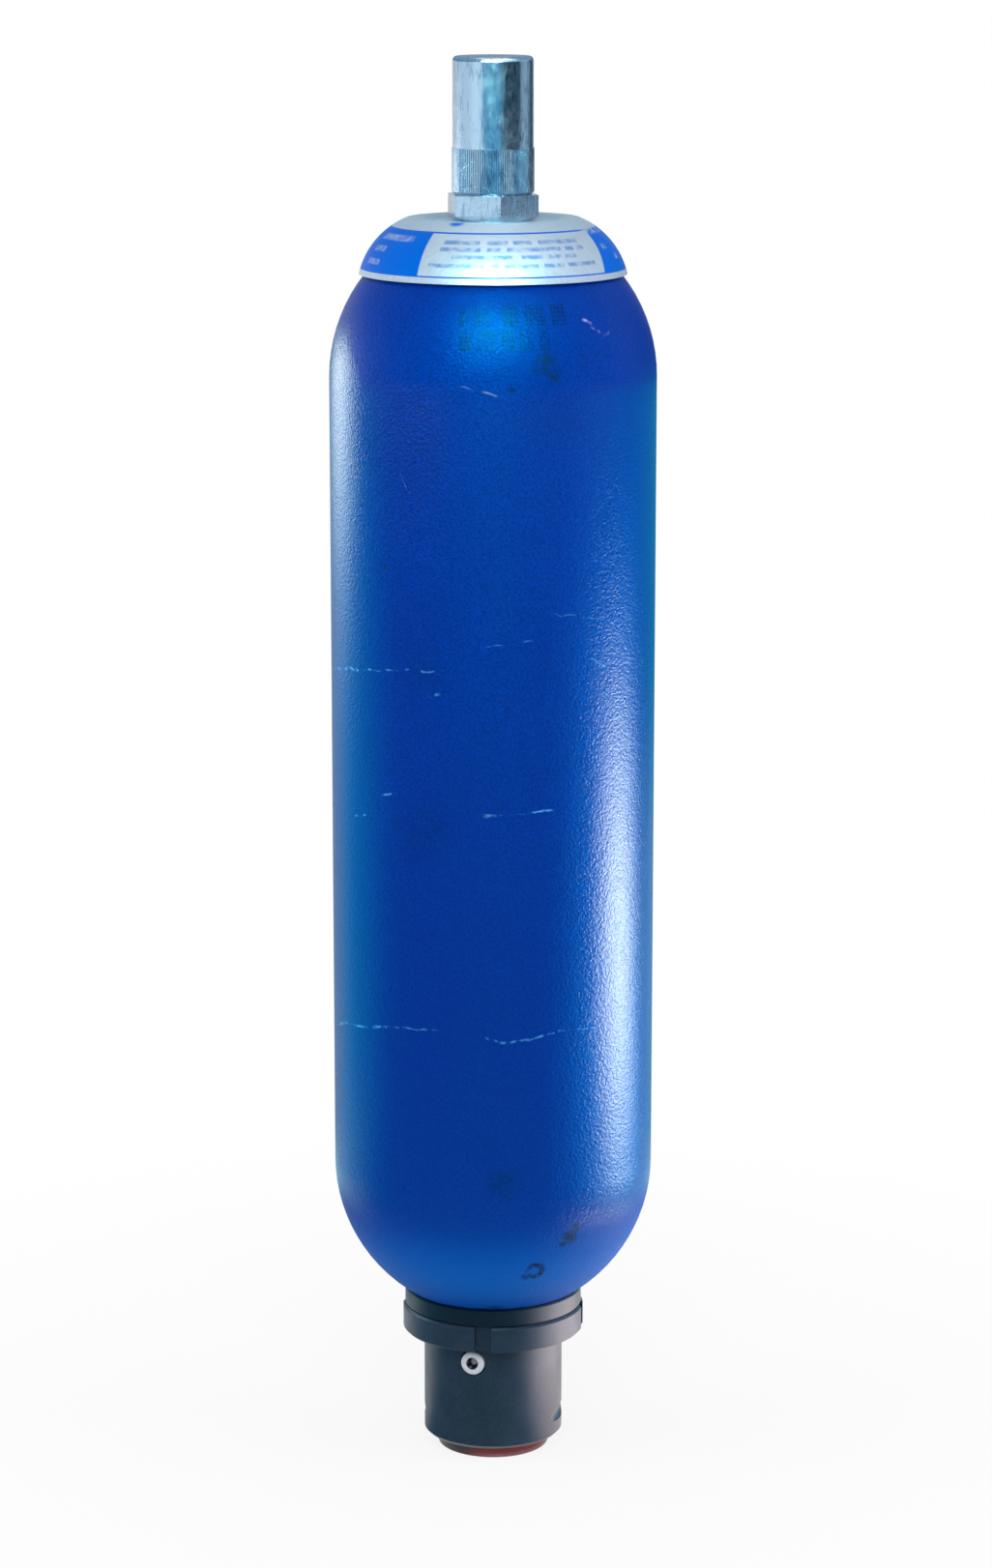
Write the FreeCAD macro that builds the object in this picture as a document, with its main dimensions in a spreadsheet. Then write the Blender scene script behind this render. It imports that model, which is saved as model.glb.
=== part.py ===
import FreeCAD
import Part
import Sketcher
import math
import os

# Hydraulic bladder accumulator, standing upright on the shipping plug of its fluid port.
# The origin is the middle of the plug's foot, +Z points up to the gas valve, and -Y is the front.
# A size called turn is an angle about Z in degrees: 0 is the front, and positive goes to the right.

SIZES = {
    # shell: forged steel bottle with a round end at the top and at the bottom
    "shell_diameter": 114.0,
    "shell_wall": 5.5,
    "shell_straight_length": 282.0,
    "shell_mouth_bore": 58.0,
    "shell_mouth_rim": 1.74,
    "shell_mouth_land": 12.0,
    "shell_neck_rim": 9.78,
    "shell_neck_wall": 15.0,
    "shell_neck_seat_diameter": 48.0,
    # shipping plug
    "plug_flange_height": 5.0,
    "plug_flange_overhang": 7.95,
    "plug_spigot_height": 12.0,
    "plug_wall": 2.2,
    "plug_edge": 0.8,
    # port body
    "port_seal_gap": 4.0,
    "port_skirt_height": 39.0,
    "port_edge": 1.2,
    "port_thread_bore": 24.1,
    "port_thread_depth": 19.0,
    "port_thread_entry": 1.4,
    "port_chamber_wall": 8.0,
    "port_throat_wall": 6.0,
    "port_web_level": 45.0,
    "port_web_height": 8.0,
    "port_hub_wall": 1.5,
    "port_flange_clearance": 0.4,
    "port_flange_height": 6.0,
    "flow_hole_count": 6,
    "flow_hole_margin": 0.35,
    "seat_height": 4.0,
    "notch_cutter_diameter": 6.0,
    "notch_depth": 1.7,
    "notch_level": 8.0,
    "notch_turn": 78.0,
    # rings in and under the shell's mouth
    "lock_nut_wall": 7.6,
    "lock_nut_height": 9.5,
    "lock_nut_edge": 0.8,
    "lock_nut_slot_count": 4,
    "lock_nut_slot_width": 6.0,
    "lock_nut_slot_depth": 2.6,
    "lock_nut_turn": -6.5,
    "spacer_wall": 6.9,
    "spacer_height": 6.5,
    "spacer_edge": 0.5,
    "backup_ring_height": 2.0,
    "support_washer_height": 1.5,
    "ring_entry": 1.5,
    "ring_wall": 10.4,
    "ring_web_height": 9.5,
    "ring_edge": 2.0,
    # bleed screw in the port body's side
    "bleed_drop": 6.5,
    "bleed_turn": -17.0,
    "bleed_thread_diameter": 5.0,
    "bleed_head_diameter": 8.5,
    "bleed_head_height": 4.6,
    "bleed_head_proud": 0.8,
    "bleed_head_edge": 0.5,
    "bleed_socket_across": 4.0,
    "bleed_socket_depth": 2.5,
    "bleed_recess_clearance": 0.55,
    "bleed_seal_height": 0.9,
    # poppet valve inside the port body
    "poppet_stem_diameter": 8.0,
    "poppet_stroke": 10.0,
    "poppet_lip": 0.4,
    "poppet_rim_height": 2.0,
    "poppet_crown_height": 3.0,
    "poppet_boss_wall": 1.5,
    "poppet_boss_height": 3.0,
    "bush_wall": 2.1,
    "bush_height": 7.8,
    "bush_recess_depth": 8.0,
    "stop_nut_across": 13.0,
    "stop_nut_height": 6.5,
    "stop_nut_face_height": 0.3,
    "stem_end": 1.0,
    "poppet_spring_clearance": 0.8,
    "poppet_spring_wire": 1.6,
    "poppet_spring_turns": 6,
    # bladder and its stem
    "bladder_clearance": 3.5,
    "bladder_wall": 2.0,
    "bladder_gap": 4.0,
    "bladder_collar_height": 2.0,
    "stem_diameter": 22.0,
    "stem_flange_diameter": 34.0,
    "stem_flange_height": 5.0,
    "stem_bore": 10.0,
    "stem_reach": 13.0,
    "stem_flat_depth": 1.0,
    "stem_flat_height": 6.0,
    # name plate, lock nut and protection cap
    "plate_thickness": 0.8,
    "plate_rim_inset": 10.5,
    "plate_rim_gap": 2.8,
    "plate_skirt_width": 16.5,
    "plate_bend": 27.5,
    "plate_seat_diameter": 42.0,
    "plate_seat_depth": 1.1,
    "plate_seat_slope": 3.0,
    "stem_nut_across": 29.0,
    "stem_nut_height": 9.2,
    "stem_nut_face_height": 0.5,
    "stem_nut_edge": 0.4,
    "nut_chamfer_angle": 30.0,
    "nut_chamfer_share": 0.95,
    "stem_nut_turn": 9.0,
    "cap_wall": 2.95,
    "cap_band_step": 0.25,
    "cap_band_height": 15.8,
    "cap_head_room": 8.0,
    "cap_roof": 6.0,
    "cap_top_edge": 1.7,
    "cap_foot_edge": 1.0,
    "knurl_count": 110,
    "knurl_depth": 0.25,
    # gas valve under the cap
    "valve_thread_diameter": 14.0,
    "valve_shank_length": 15.0,
    "valve_collar_clearance": 0.66,
    "valve_collar_height": 6.0,
    "valve_spigot_diameter": 7.8,
    "valve_spigot_height": 12.0,
    "valve_bore": 5.2,
    "valve_ring_section": 2.0,
    "valve_cap_wall": 1.6,
    "valve_cap_skirt": 9.0,
    "valve_cap_roof": 2.0,
    "core_length": 18.0,
    "core_set_back": 3.0,
    "core_chamber_diameter": 3.8,
    "core_wall": 2.0,
    "pin_diameter": 1.5,
    "pin_head_diameter": 4.2,
    "pin_head_height": 1.9,
    "pin_set_back": 0.8,
    "pin_collar_diameter": 3.2,
    "pin_collar_height": 1.0,
    "pin_spring_diameter": 2.6,
    "pin_spring_wire": 0.5,
    "pin_spring_turns": 7,
    # clearances
    "thread_clearance": 0.05,
    "running_clearance": 0.05,
    "seal_clearance": 0.05,
    "seat_clearance": 0.2,
    "stop_clearance": 0.1,
    "neck_clearance": 0.2,
}

# Heights above the foot and radii that follow from the sizes, in the order of assembly.
LEVELS = {
    # shell, standing on the spacer, the lock nut and the port body
    "shell_radius": "Sizes.shell_diameter / 2",
    "inner_radius": "Levels.shell_radius - Sizes.shell_wall",
    "mouth_radius": "Sizes.shell_mouth_bore / 2",
    "mouth_face_radius": "Levels.mouth_radius + Sizes.shell_mouth_rim",
    "stem_radius": "Sizes.stem_diameter / 2",
    "neck_hole_radius": "Levels.stem_radius + Sizes.neck_clearance",
    "neck_face_radius": "Levels.neck_hole_radius + Sizes.shell_neck_rim",
    "neck_seat_radius": "Sizes.shell_neck_seat_diameter / 2",
    "port_foot": "Sizes.plug_flange_height",
    "lock_nut_foot": "Levels.port_foot + Sizes.port_skirt_height",
    "lock_nut_top": "Levels.lock_nut_foot + Sizes.lock_nut_height",
    "mouth_face": "Levels.lock_nut_top + Sizes.spacer_height",
    "mouth_inside": "Levels.mouth_face + Sizes.shell_mouth_land",
    "lower_tangent": "Levels.mouth_face + sqrt(Levels.shell_radius ^ 2 - Levels.mouth_face_radius ^ 2)",
    "upper_tangent": "Levels.lower_tangent + Sizes.shell_straight_length",
    "neck_face": "Levels.upper_tangent + sqrt(Levels.shell_radius ^ 2 - Levels.neck_face_radius ^ 2)",
    "neck_inside": "Levels.neck_face - Sizes.shell_neck_wall",
    "lower_bend_centre": "(Levels.inner_radius ^ 2 - Levels.mouth_radius ^ 2"
                         " - (Levels.lower_tangent - Levels.mouth_inside) ^ 2)"
                         " / (2 * (Levels.inner_radius - Levels.mouth_radius))",
    "lower_bend": "Levels.inner_radius - Levels.lower_bend_centre",
    "upper_bend_centre": "(Levels.inner_radius ^ 2 - Levels.neck_seat_radius ^ 2"
                         " - (Levels.neck_inside - Levels.upper_tangent) ^ 2)"
                         " / (2 * (Levels.inner_radius - Levels.neck_seat_radius))",
    "upper_bend": "Levels.inner_radius - Levels.upper_bend_centre",
    # port body and the rings in the shell's mouth
    "port_radius": "Levels.mouth_radius - Sizes.port_seal_gap",
    "ring_foot": "Levels.mouth_inside - Sizes.ring_entry",
    "washer_foot": "Levels.ring_foot - Sizes.support_washer_height",
    "backup_top": "Levels.washer_foot - Sizes.port_seal_gap",
    "collar_top": "Levels.backup_top - Sizes.backup_ring_height",
    "flange_foot": "Levels.ring_foot + Sizes.ring_web_height",
    "port_top": "Levels.flange_foot + Sizes.port_flange_height",
    "flange_radius": "Levels.mouth_radius - Sizes.port_flange_clearance",
    "throat_radius": "Levels.port_radius - Sizes.port_throat_wall",
    "throat_top": "Levels.port_top - Sizes.seat_height",
    "bleed_level": "Levels.lock_nut_foot - Sizes.bleed_drop",
    "bleed_seat": "Levels.port_radius + Sizes.bleed_head_proud"
                  " - Sizes.bleed_head_height - Sizes.bleed_seal_height",
    "thread_radius": "Sizes.port_thread_bore / 2",
    "thread_top": "Levels.port_foot + Sizes.port_thread_depth",
    "chamber_radius": "Levels.port_radius - Sizes.port_chamber_wall",
    "web_foot": "Levels.port_foot + Sizes.port_web_level",
    "web_top": "Levels.web_foot + Sizes.port_web_height",
    "hub_foot": "Levels.web_foot - Sizes.bush_recess_depth",
    # poppet valve
    "poppet_stem_radius": "Sizes.poppet_stem_diameter / 2",
    "poppet_boss_radius": "Levels.poppet_stem_radius + Sizes.poppet_boss_wall",
    "bush_radius": "Levels.poppet_stem_radius + Sizes.bush_wall",
    "bush_recess_radius": "Levels.bush_radius + Sizes.running_clearance",
    "hub_radius": "Levels.bush_recess_radius + Sizes.port_hub_wall",
    "poppet_foot": "Levels.throat_top - Sizes.poppet_lip + Sizes.stop_clearance + Sizes.poppet_stroke",
    "poppet_rim_foot": "Levels.poppet_foot + Sizes.seat_height",
    "poppet_rim_top": "Levels.poppet_rim_foot + Sizes.poppet_rim_height",
    "poppet_top": "Levels.poppet_rim_top + Sizes.poppet_crown_height",
    "poppet_foot_radius": "Levels.throat_radius - Sizes.poppet_lip",
    "poppet_rim_radius": "Levels.poppet_foot_radius + Sizes.seat_height",
    "poppet_crown_bend": "(Levels.poppet_rim_radius ^ 2 + Sizes.poppet_crown_height ^ 2)"
                         " / (2 * Sizes.poppet_crown_height)",
    "stop_nut_top": "Levels.hub_foot - Sizes.stop_clearance",
    "stop_nut_foot": "Levels.stop_nut_top - Sizes.stop_nut_height",
    "poppet_end": "Levels.stop_nut_foot - Sizes.stem_end",
    # bladder, and its stem through the shell's neck
    "bladder_radius": "Levels.inner_radius - Sizes.bladder_clearance",
    "bladder_bend": "Levels.upper_bend - Sizes.bladder_clearance",
    "bladder_foot": "Levels.poppet_top + Sizes.bladder_gap",
    "bladder_end_centre": "Levels.bladder_foot + Levels.bladder_radius",
    "stem_flange_radius": "Sizes.stem_flange_diameter / 2",
    "stem_flange_top": "Levels.neck_inside - Sizes.bladder_collar_height",
    "stem_foot": "Levels.stem_flange_top - Sizes.stem_flange_height",
    # name plate, dished from the neck's face down to the shell's shoulder
    "plate_seat_top": "Levels.neck_face + Sizes.plate_thickness",
    "plate_seat_radius": "Sizes.plate_seat_diameter / 2",
    "plate_slope_radius": "Levels.plate_seat_radius + Sizes.plate_seat_slope",
    "plate_top": "Levels.plate_seat_top + Sizes.plate_seat_depth",
    "plate_underside": "Levels.plate_top - Sizes.plate_thickness",
    "plate_rim_radius": "Levels.shell_radius - Sizes.plate_rim_inset",
    "plate_rim_top": "Levels.upper_tangent + Sizes.plate_rim_gap"
                     " + sqrt(Levels.shell_radius ^ 2 - Levels.plate_rim_radius ^ 2)",
    "plate_flat_radius": "Levels.plate_rim_radius - Sizes.plate_skirt_width",
    "plate_fall": "Levels.plate_top - Levels.plate_rim_top",
    "plate_chord": "sqrt(Sizes.plate_skirt_width ^ 2 + Levels.plate_fall ^ 2)",
    "plate_chord_distance": "sqrt(Sizes.plate_bend ^ 2 - Levels.plate_chord ^ 2 / 4)",
    "plate_bend_centre": "Levels.plate_flat_radius + Sizes.plate_skirt_width / 2"
                         " - Levels.plate_chord_distance * Levels.plate_fall / Levels.plate_chord",
    "plate_bend_level": "Levels.plate_top - Levels.plate_fall / 2"
                        " - Levels.plate_chord_distance * Sizes.plate_skirt_width / Levels.plate_chord",
    "plate_under_bend": "Sizes.plate_bend - Sizes.plate_thickness",
    # nut, gas valve and cap on the stem
    "stem_nut_top": "Levels.plate_seat_top + Sizes.stem_nut_height",
    "stem_top": "Levels.stem_nut_top + Sizes.stem_reach",
    "valve_thread_radius": "Sizes.valve_thread_diameter / 2",
    "valve_foot": "Levels.stem_top - Sizes.valve_shank_length",
    "valve_ring_foot": "Levels.stem_top - Sizes.valve_ring_section",
    "valve_collar_top": "Levels.stem_top + Sizes.valve_collar_height",
    "valve_top": "Levels.valve_collar_top + Sizes.valve_spigot_height",
    "valve_cap_top": "Levels.valve_top + Sizes.valve_cap_roof",
    "cap_bore_radius": "Levels.stem_radius + Sizes.thread_clearance",
    "cap_roof_foot": "Levels.valve_cap_top + Sizes.cap_head_room",
    "cap_top": "Levels.cap_roof_foot + Sizes.cap_roof",
    "core_top": "Levels.valve_top - Sizes.core_set_back",
    "core_foot": "Levels.core_top - Sizes.core_length",
    "core_spring_foot": "Levels.core_foot + Sizes.core_wall",
    "core_roof": "Levels.core_top - Sizes.core_wall",
    "pin_radius": "Sizes.pin_diameter / 2",
    "pin_top": "Levels.valve_top - Sizes.pin_set_back",
    "pin_head_top": "Levels.core_foot - Sizes.stop_clearance",
    "pin_collar_top": "Levels.core_roof - Sizes.stop_clearance",
    "pin_collar_foot": "Levels.pin_collar_top - Sizes.pin_collar_height",
}


# how near two places are that count as one, and how little a cut may take
SAME_PLACE = 0.001
LEAST_CUT = 0.01


def make_sheet(document):
    """Spreadsheet of the driving sizes, one alias a row."""
    sheet = document.addObject("Spreadsheet::Sheet", "Sizes")
    for row, (name, size) in enumerate(SIZES.items(), start=1):
        sheet.set(f"A{row}", name)
        sheet.set(f"B{row}", str(size))
        sheet.setAlias(f"B{row}", name)
    document.recompute()


def make_levels(document):
    """Variable set of the heights and radii worked out from the sheet."""
    levels = document.addObject("App::VarSet", "Levels")
    for name, rule in LEVELS.items():
        levels.addProperty("App::PropertyFloat", name, "Levels", "")
        levels.setExpression(name, rule)
        document.recompute()
    return levels


document = FreeCAD.newDocument("hydraulic_accumulator")
make_sheet(document)
levels = make_levels(document)


def number(rule):
    """Present value of a rule written in sizes and levels."""
    return float(levels.evalExpression(rule))


def corner(radius, height):
    """Corner of an outline, at a radius from the axis and a height."""
    return ("corner", radius, height)


def bend(radius, centre_radius, centre_height):
    """Round stretch of an outline between the corners before and after it."""
    return ("bend", radius, centre_radius, centre_height)


def origin_plane(body, role):
    for feature in body.Origin.OriginFeatures:
        if feature.Role == role:
            return feature
    raise ValueError(role)


def new_body(label):
    body = document.addObject("PartDesign::Body", label)
    body.Label = label
    return body


def sketch_on(body, role, name):
    """Empty sketch on one of the body's own origin planes."""
    sketch = body.newObject("Sketcher::SketchObject", name)
    sketch.AttachmentSupport = (origin_plane(body, role), [""])
    sketch.MapMode = "FlatFace"
    return sketch


def bind(sketch, constraint, rule):
    """Add a dimension to a sketch and tie it to a rule."""
    index = sketch.addConstraint(constraint)
    sketch.setExpression(f"Constraints[{index}]", rule)


def tie_point(sketch, edge, end, across, up):
    """Tie one end of an edge to its place along both axes of the sketch."""
    for kind, rule, axis in (("DistanceX", across, -2), ("DistanceY", up, -1)):
        if rule == "0":
            sketch.addConstraint(Sketcher.Constraint("PointOnObject", edge, end, axis))
        else:
            bind(sketch, Sketcher.Constraint(kind, -1, 1, edge, end, number(rule)), rule)


def arc_between(first, second, centre, radius):
    """The shorter arc about a centre from one point to another, and whether it runs from first."""
    start = math.atan2(first.y - centre.y, first.x - centre.x)
    end = math.atan2(second.y - centre.y, second.x - centre.x)
    sweep = (end - start) % (2 * math.pi)
    circle = Part.Circle(centre, FreeCAD.Vector(0, 0, 1), radius)
    if sweep < math.pi:
        return Part.ArcOfCircle(circle, start, start + sweep), True
    return Part.ArcOfCircle(circle, end, end + 2 * math.pi - sweep), False


def draw_outline(sketch, outline):
    """Closed outline of straight and round stretches, with every corner and bend tied to its rule."""
    corners = [item for item in outline if item[0] == "corner"]
    places = [FreeCAD.Vector(number(item[1]), number(item[2]), 0) for item in corners]
    bends = {}
    passed = 0
    for item in outline:
        if item[0] == "corner":
            passed += 1
        else:
            bends[passed - 1] = item
    ends = []
    for index, place in enumerate(places):
        following = places[(index + 1) % len(places)]
        if index in bends:
            _, radius, centre_radius, centre_height = bends[index]
            centre = FreeCAD.Vector(number(centre_radius), number(centre_height), 0)
            curve, forward = arc_between(place, following, centre, number(radius))
            edge = sketch.addGeometry(curve, False)
            bind(sketch, Sketcher.Constraint("Radius", edge, number(radius)), radius)
        else:
            edge = sketch.addGeometry(Part.LineSegment(place, following), False)
            forward = True
        ends.append((edge, 1 if forward else 2, 2 if forward else 1))
    for index, (edge, start, _) in enumerate(ends):
        previous_edge, _, previous_end = ends[index - 1]
        sketch.addConstraint(Sketcher.Constraint("Coincident", previous_edge, previous_end, edge, start))
        tie_point(sketch, edge, start, corners[index][1], corners[index][2])


def revolve(body, sketch):
    """Turn a section about the body's Z axis, as on a lathe."""
    feature = body.newObject("PartDesign::Revolution", body.Label + "_turned")
    feature.Profile = sketch
    feature.ReferenceAxis = (sketch, ["V_Axis"])
    feature.Angle = 360
    document.recompute()


def turned_body(label, outline):
    body = new_body(label)
    sketch = sketch_on(body, "XZ_Plane", label + "_section")
    draw_outline(sketch, outline)
    revolve(body, sketch)
    return body


def is_rim(edge, radius, height):
    """Whether an edge is the circle at this radius and height."""
    curve = edge.Curve
    if not isinstance(curve, Part.Circle):
        return False
    found = FreeCAD.Vector(curve.Radius, 0, curve.Center.z)
    return found.isEqual(FreeCAD.Vector(radius, 0, height), SAME_PLACE)


def rims(body, places):
    """Names of the circular edges of the body's last feature at the given radii and heights."""
    names = []
    for radius, height in places:
        for index, edge in enumerate(body.Tip.Shape.Edges, start=1):
            if is_rim(edge, number(radius), number(height)):
                names.append(f"Edge{index}")
    if len(names) != len(places):
        raise ValueError(f"{body.Label}: {len(names)} rims found of {len(places)}")
    return names


def bevel(body, size, places):
    """Chamfer the round rims of a turned body."""
    base = (body.Tip, rims(body, places))
    feature = body.newObject("PartDesign::Chamfer", f"{body.Label}_bevel_{len(body.Group)}")
    feature.Base = base
    feature.setExpression("Size", size)
    document.recompute()


def soften(body, size, places):
    """Fillet the round rims of a turned body."""
    base = (body.Tip, rims(body, places))
    feature = body.newObject("PartDesign::Fillet", f"{body.Label}_round_{len(body.Group)}")
    feature.Base = base
    feature.setExpression("Radius", size)
    document.recompute()


def repeat_about_axis(body, name, feature, count):
    """Repeat a cut evenly about the body's Z axis."""
    pattern = body.newObject("PartDesign::PolarPattern", name)
    pattern.Originals = [feature]
    pattern.Axis = (origin_plane(body, "Z_Axis"), [""])
    pattern.Angle = 360
    pattern.setExpression("Occurrences", count)
    body.Tip = pattern
    document.recompute()


def mill(body, name, outline, height, depth, turn="0"):
    """Cut an outline that lies across the axis at a height, upwards by a depth."""
    volume = body.Shape.Volume
    sketch = sketch_on(body, "XY_Plane", name + "_outline")
    sketch.setExpression("AttachmentOffset", f"placement(vector(0; 0; {height}); rotation({turn}; 0; 0))")
    outline(sketch)
    pocket = body.newObject("PartDesign::Pocket", name)
    pocket.Profile = sketch
    pocket.setExpression("Length", depth)
    pocket.Reversed = True
    document.recompute()
    if body.Shape.Volume > volume - LEAST_CUT:
        raise ValueError(f"{name} cuts nothing")
    return pocket


def bar_outline(inner, outer, width):
    """Rectangle from an inner to an outer distance along the sketch's own first axis."""
    def draw(sketch):
        half = f"({width}) / 2"
        left, right, up = number(inner), number(outer), number(half)
        points = [FreeCAD.Vector(left, -up, 0), FreeCAD.Vector(right, -up, 0),
                  FreeCAD.Vector(right, up, 0), FreeCAD.Vector(left, up, 0)]
        for index, point in enumerate(points):
            sketch.addGeometry(Part.LineSegment(point, points[(index + 1) % 4]), False)
        for index in range(4):
            sketch.addConstraint(Sketcher.Constraint("Coincident", index, 2, (index + 1) % 4, 1))
        for index, direction in enumerate(("Horizontal", "Vertical", "Horizontal", "Vertical")):
            sketch.addConstraint(Sketcher.Constraint(direction, index))
        bind(sketch, Sketcher.Constraint("DistanceX", -1, 1, 3, 2, left), inner)
        bind(sketch, Sketcher.Constraint("DistanceX", -1, 1, 1, 1, right), outer)
        bind(sketch, Sketcher.Constraint("DistanceY", -1, 1, 2, 2, up), half)
        bind(sketch, Sketcher.Constraint("DistanceY", 0, 1, -1, 1, up), half)
    return draw


def draw_circle(sketch, across, up, diameter):
    """Circle with its centre and its size tied to their rules."""
    radius = f"({diameter}) / 2"
    centre = FreeCAD.Vector(number(across), number(up), 0)
    edge = sketch.addGeometry(Part.Circle(centre, FreeCAD.Vector(0, 0, 1), number(radius)), False)
    bind(sketch, Sketcher.Constraint("Radius", edge, number(radius)), radius)
    tie_point(sketch, edge, 3, across, up)


def round_outline(distance, diameter):
    """Circle at a distance along the sketch's own first axis."""
    return lambda sketch: draw_circle(sketch, distance, "0", diameter)


def mill_flats(body, across, count, height, depth, turn):
    """Flats around a turned blank, such as the six sides of a nut."""
    outline = bar_outline(f"({across}) / 2", across, f"2 * ({across})")
    cut = mill(body, body.Label + "_flat", outline, height, depth, turn)
    repeat_about_axis(body, body.Label + "_flats", cut, count)


def corner_radius(across):
    """Radius through the corners of a hexagon, from its width across flats."""
    return f"(({across}) / 2 / cos(30))"


def nut_outline(across, bore_radius, foot, top, face_height, top_edge=None):
    """Section of a hexagon nut before its flats are cut: washer face below, chamfers at both ends.

    The upper chamfer is as wide as the lower one, or as wide as top_edge where that is given.
    """
    blank = corner_radius(across)
    face = f"(({across}) / 2 * Sizes.nut_chamfer_share)"
    foot_edge = f"({blank} - {face})"
    top_edge = top_edge or foot_edge
    body_foot = f"({foot} + {face_height})"
    return [
        corner(bore_radius, foot),
        corner(face, foot),
        corner(face, body_foot),
        corner(blank, f"{body_foot} + {foot_edge} * tan(Sizes.nut_chamfer_angle)"),
        corner(blank, f"{top} - {top_edge} * tan(Sizes.nut_chamfer_angle)"),
        corner(f"{blank} - {top_edge}", top),
        corner(bore_radius, top),
    ]


def ring_body(label, inner, outer, foot, top):
    """Plain ring of rectangular section."""
    return turned_body(label, [
        corner(inner, foot),
        corner(outer, foot),
        corner(outer, top),
        corner(inner, top),
    ])


def seal_body(label, radius, section, height):
    """Ring of round section, such as an O-ring."""
    body = new_body(label)
    sketch = sketch_on(body, "XZ_Plane", label + "_section")
    draw_circle(sketch, radius, height, section)
    revolve(body, sketch)
    return body


def spring_body(label, coil_radius, wire_diameter, turns, foot, top):
    """Open-coiled compression spring between two faces."""
    body = new_body(label)
    sketch = sketch_on(body, "XZ_Plane", label + "_wire")
    draw_circle(sketch, coil_radius, f"{foot} + ({wire_diameter}) / 2", wire_diameter)
    coil = body.newObject("PartDesign::AdditiveHelix", label + "_coil")
    coil.Profile = sketch
    coil.ReferenceAxis = (sketch, ["V_Axis"])
    coil.Mode = "height-turns-angle"
    coil.setExpression("Height", f"{top} - ({foot}) - ({wire_diameter})")
    coil.setExpression("Turns", turns)
    document.recompute()
    return body


def drill(body, name, radius, height, placement):
    """Cut a round bar's space out of the body, along the placement's own Z axis."""
    volume = body.Shape.Volume
    hole = body.newObject("PartDesign::SubtractiveCylinder", name)
    hole.setExpression("Radius", radius)
    hole.setExpression("Height", height)
    hole.setExpression("Placement", placement)
    document.recompute()
    if body.Shape.Volume > volume - LEAST_CUT:
        raise ValueError(f"{name} cuts nothing")
    return hole


def out_of_side(distance, height, turn):
    """Placement whose Z axis points straight out of the port's side, at a distance from the main axis."""
    across = f"({distance}) * sin({turn})"
    forward = f"-({distance}) * cos({turn})"
    return f"placement(vector({across}; {forward}; {height}); rotation({turn}; 0; 90))"


def make_shell():
    return turned_body("shell", [
        corner("Levels.mouth_radius", "Levels.mouth_face"),
        corner("Levels.mouth_face_radius", "Levels.mouth_face"),
        bend("Levels.shell_radius", "0", "Levels.lower_tangent"),
        corner("Levels.shell_radius", "Levels.lower_tangent"),
        corner("Levels.shell_radius", "Levels.upper_tangent"),
        bend("Levels.shell_radius", "0", "Levels.upper_tangent"),
        corner("Levels.neck_face_radius", "Levels.neck_face"),
        corner("Levels.neck_hole_radius", "Levels.neck_face"),
        corner("Levels.neck_hole_radius", "Levels.neck_inside"),
        corner("Levels.neck_seat_radius", "Levels.neck_inside"),
        bend("Levels.upper_bend", "Levels.upper_bend_centre", "Levels.upper_tangent"),
        corner("Levels.inner_radius", "Levels.upper_tangent"),
        corner("Levels.inner_radius", "Levels.lower_tangent"),
        bend("Levels.lower_bend", "Levels.lower_bend_centre", "Levels.lower_tangent"),
        corner("Levels.mouth_radius", "Levels.mouth_inside"),
    ])


def make_port_plug():
    spigot_radius = "Levels.thread_radius - Sizes.thread_clearance"
    hollow_radius = f"{spigot_radius} - Sizes.plug_wall"
    flange_radius = "Levels.thread_radius + Sizes.plug_flange_overhang"
    spigot_top = "Levels.port_foot + Sizes.plug_spigot_height"
    body = turned_body("port_plug", [
        corner(hollow_radius, "0"),
        corner(flange_radius, "0"),
        corner(flange_radius, "Levels.port_foot"),
        corner(spigot_radius, "Levels.port_foot"),
        corner(spigot_radius, spigot_top),
        corner("0", spigot_top),
        corner("0", f"{spigot_top} - Sizes.plug_wall"),
        corner(hollow_radius, f"{spigot_top} - Sizes.plug_wall"),
    ])
    soften(body, "Sizes.plug_edge", [(flange_radius, "0")])
    return body


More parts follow.
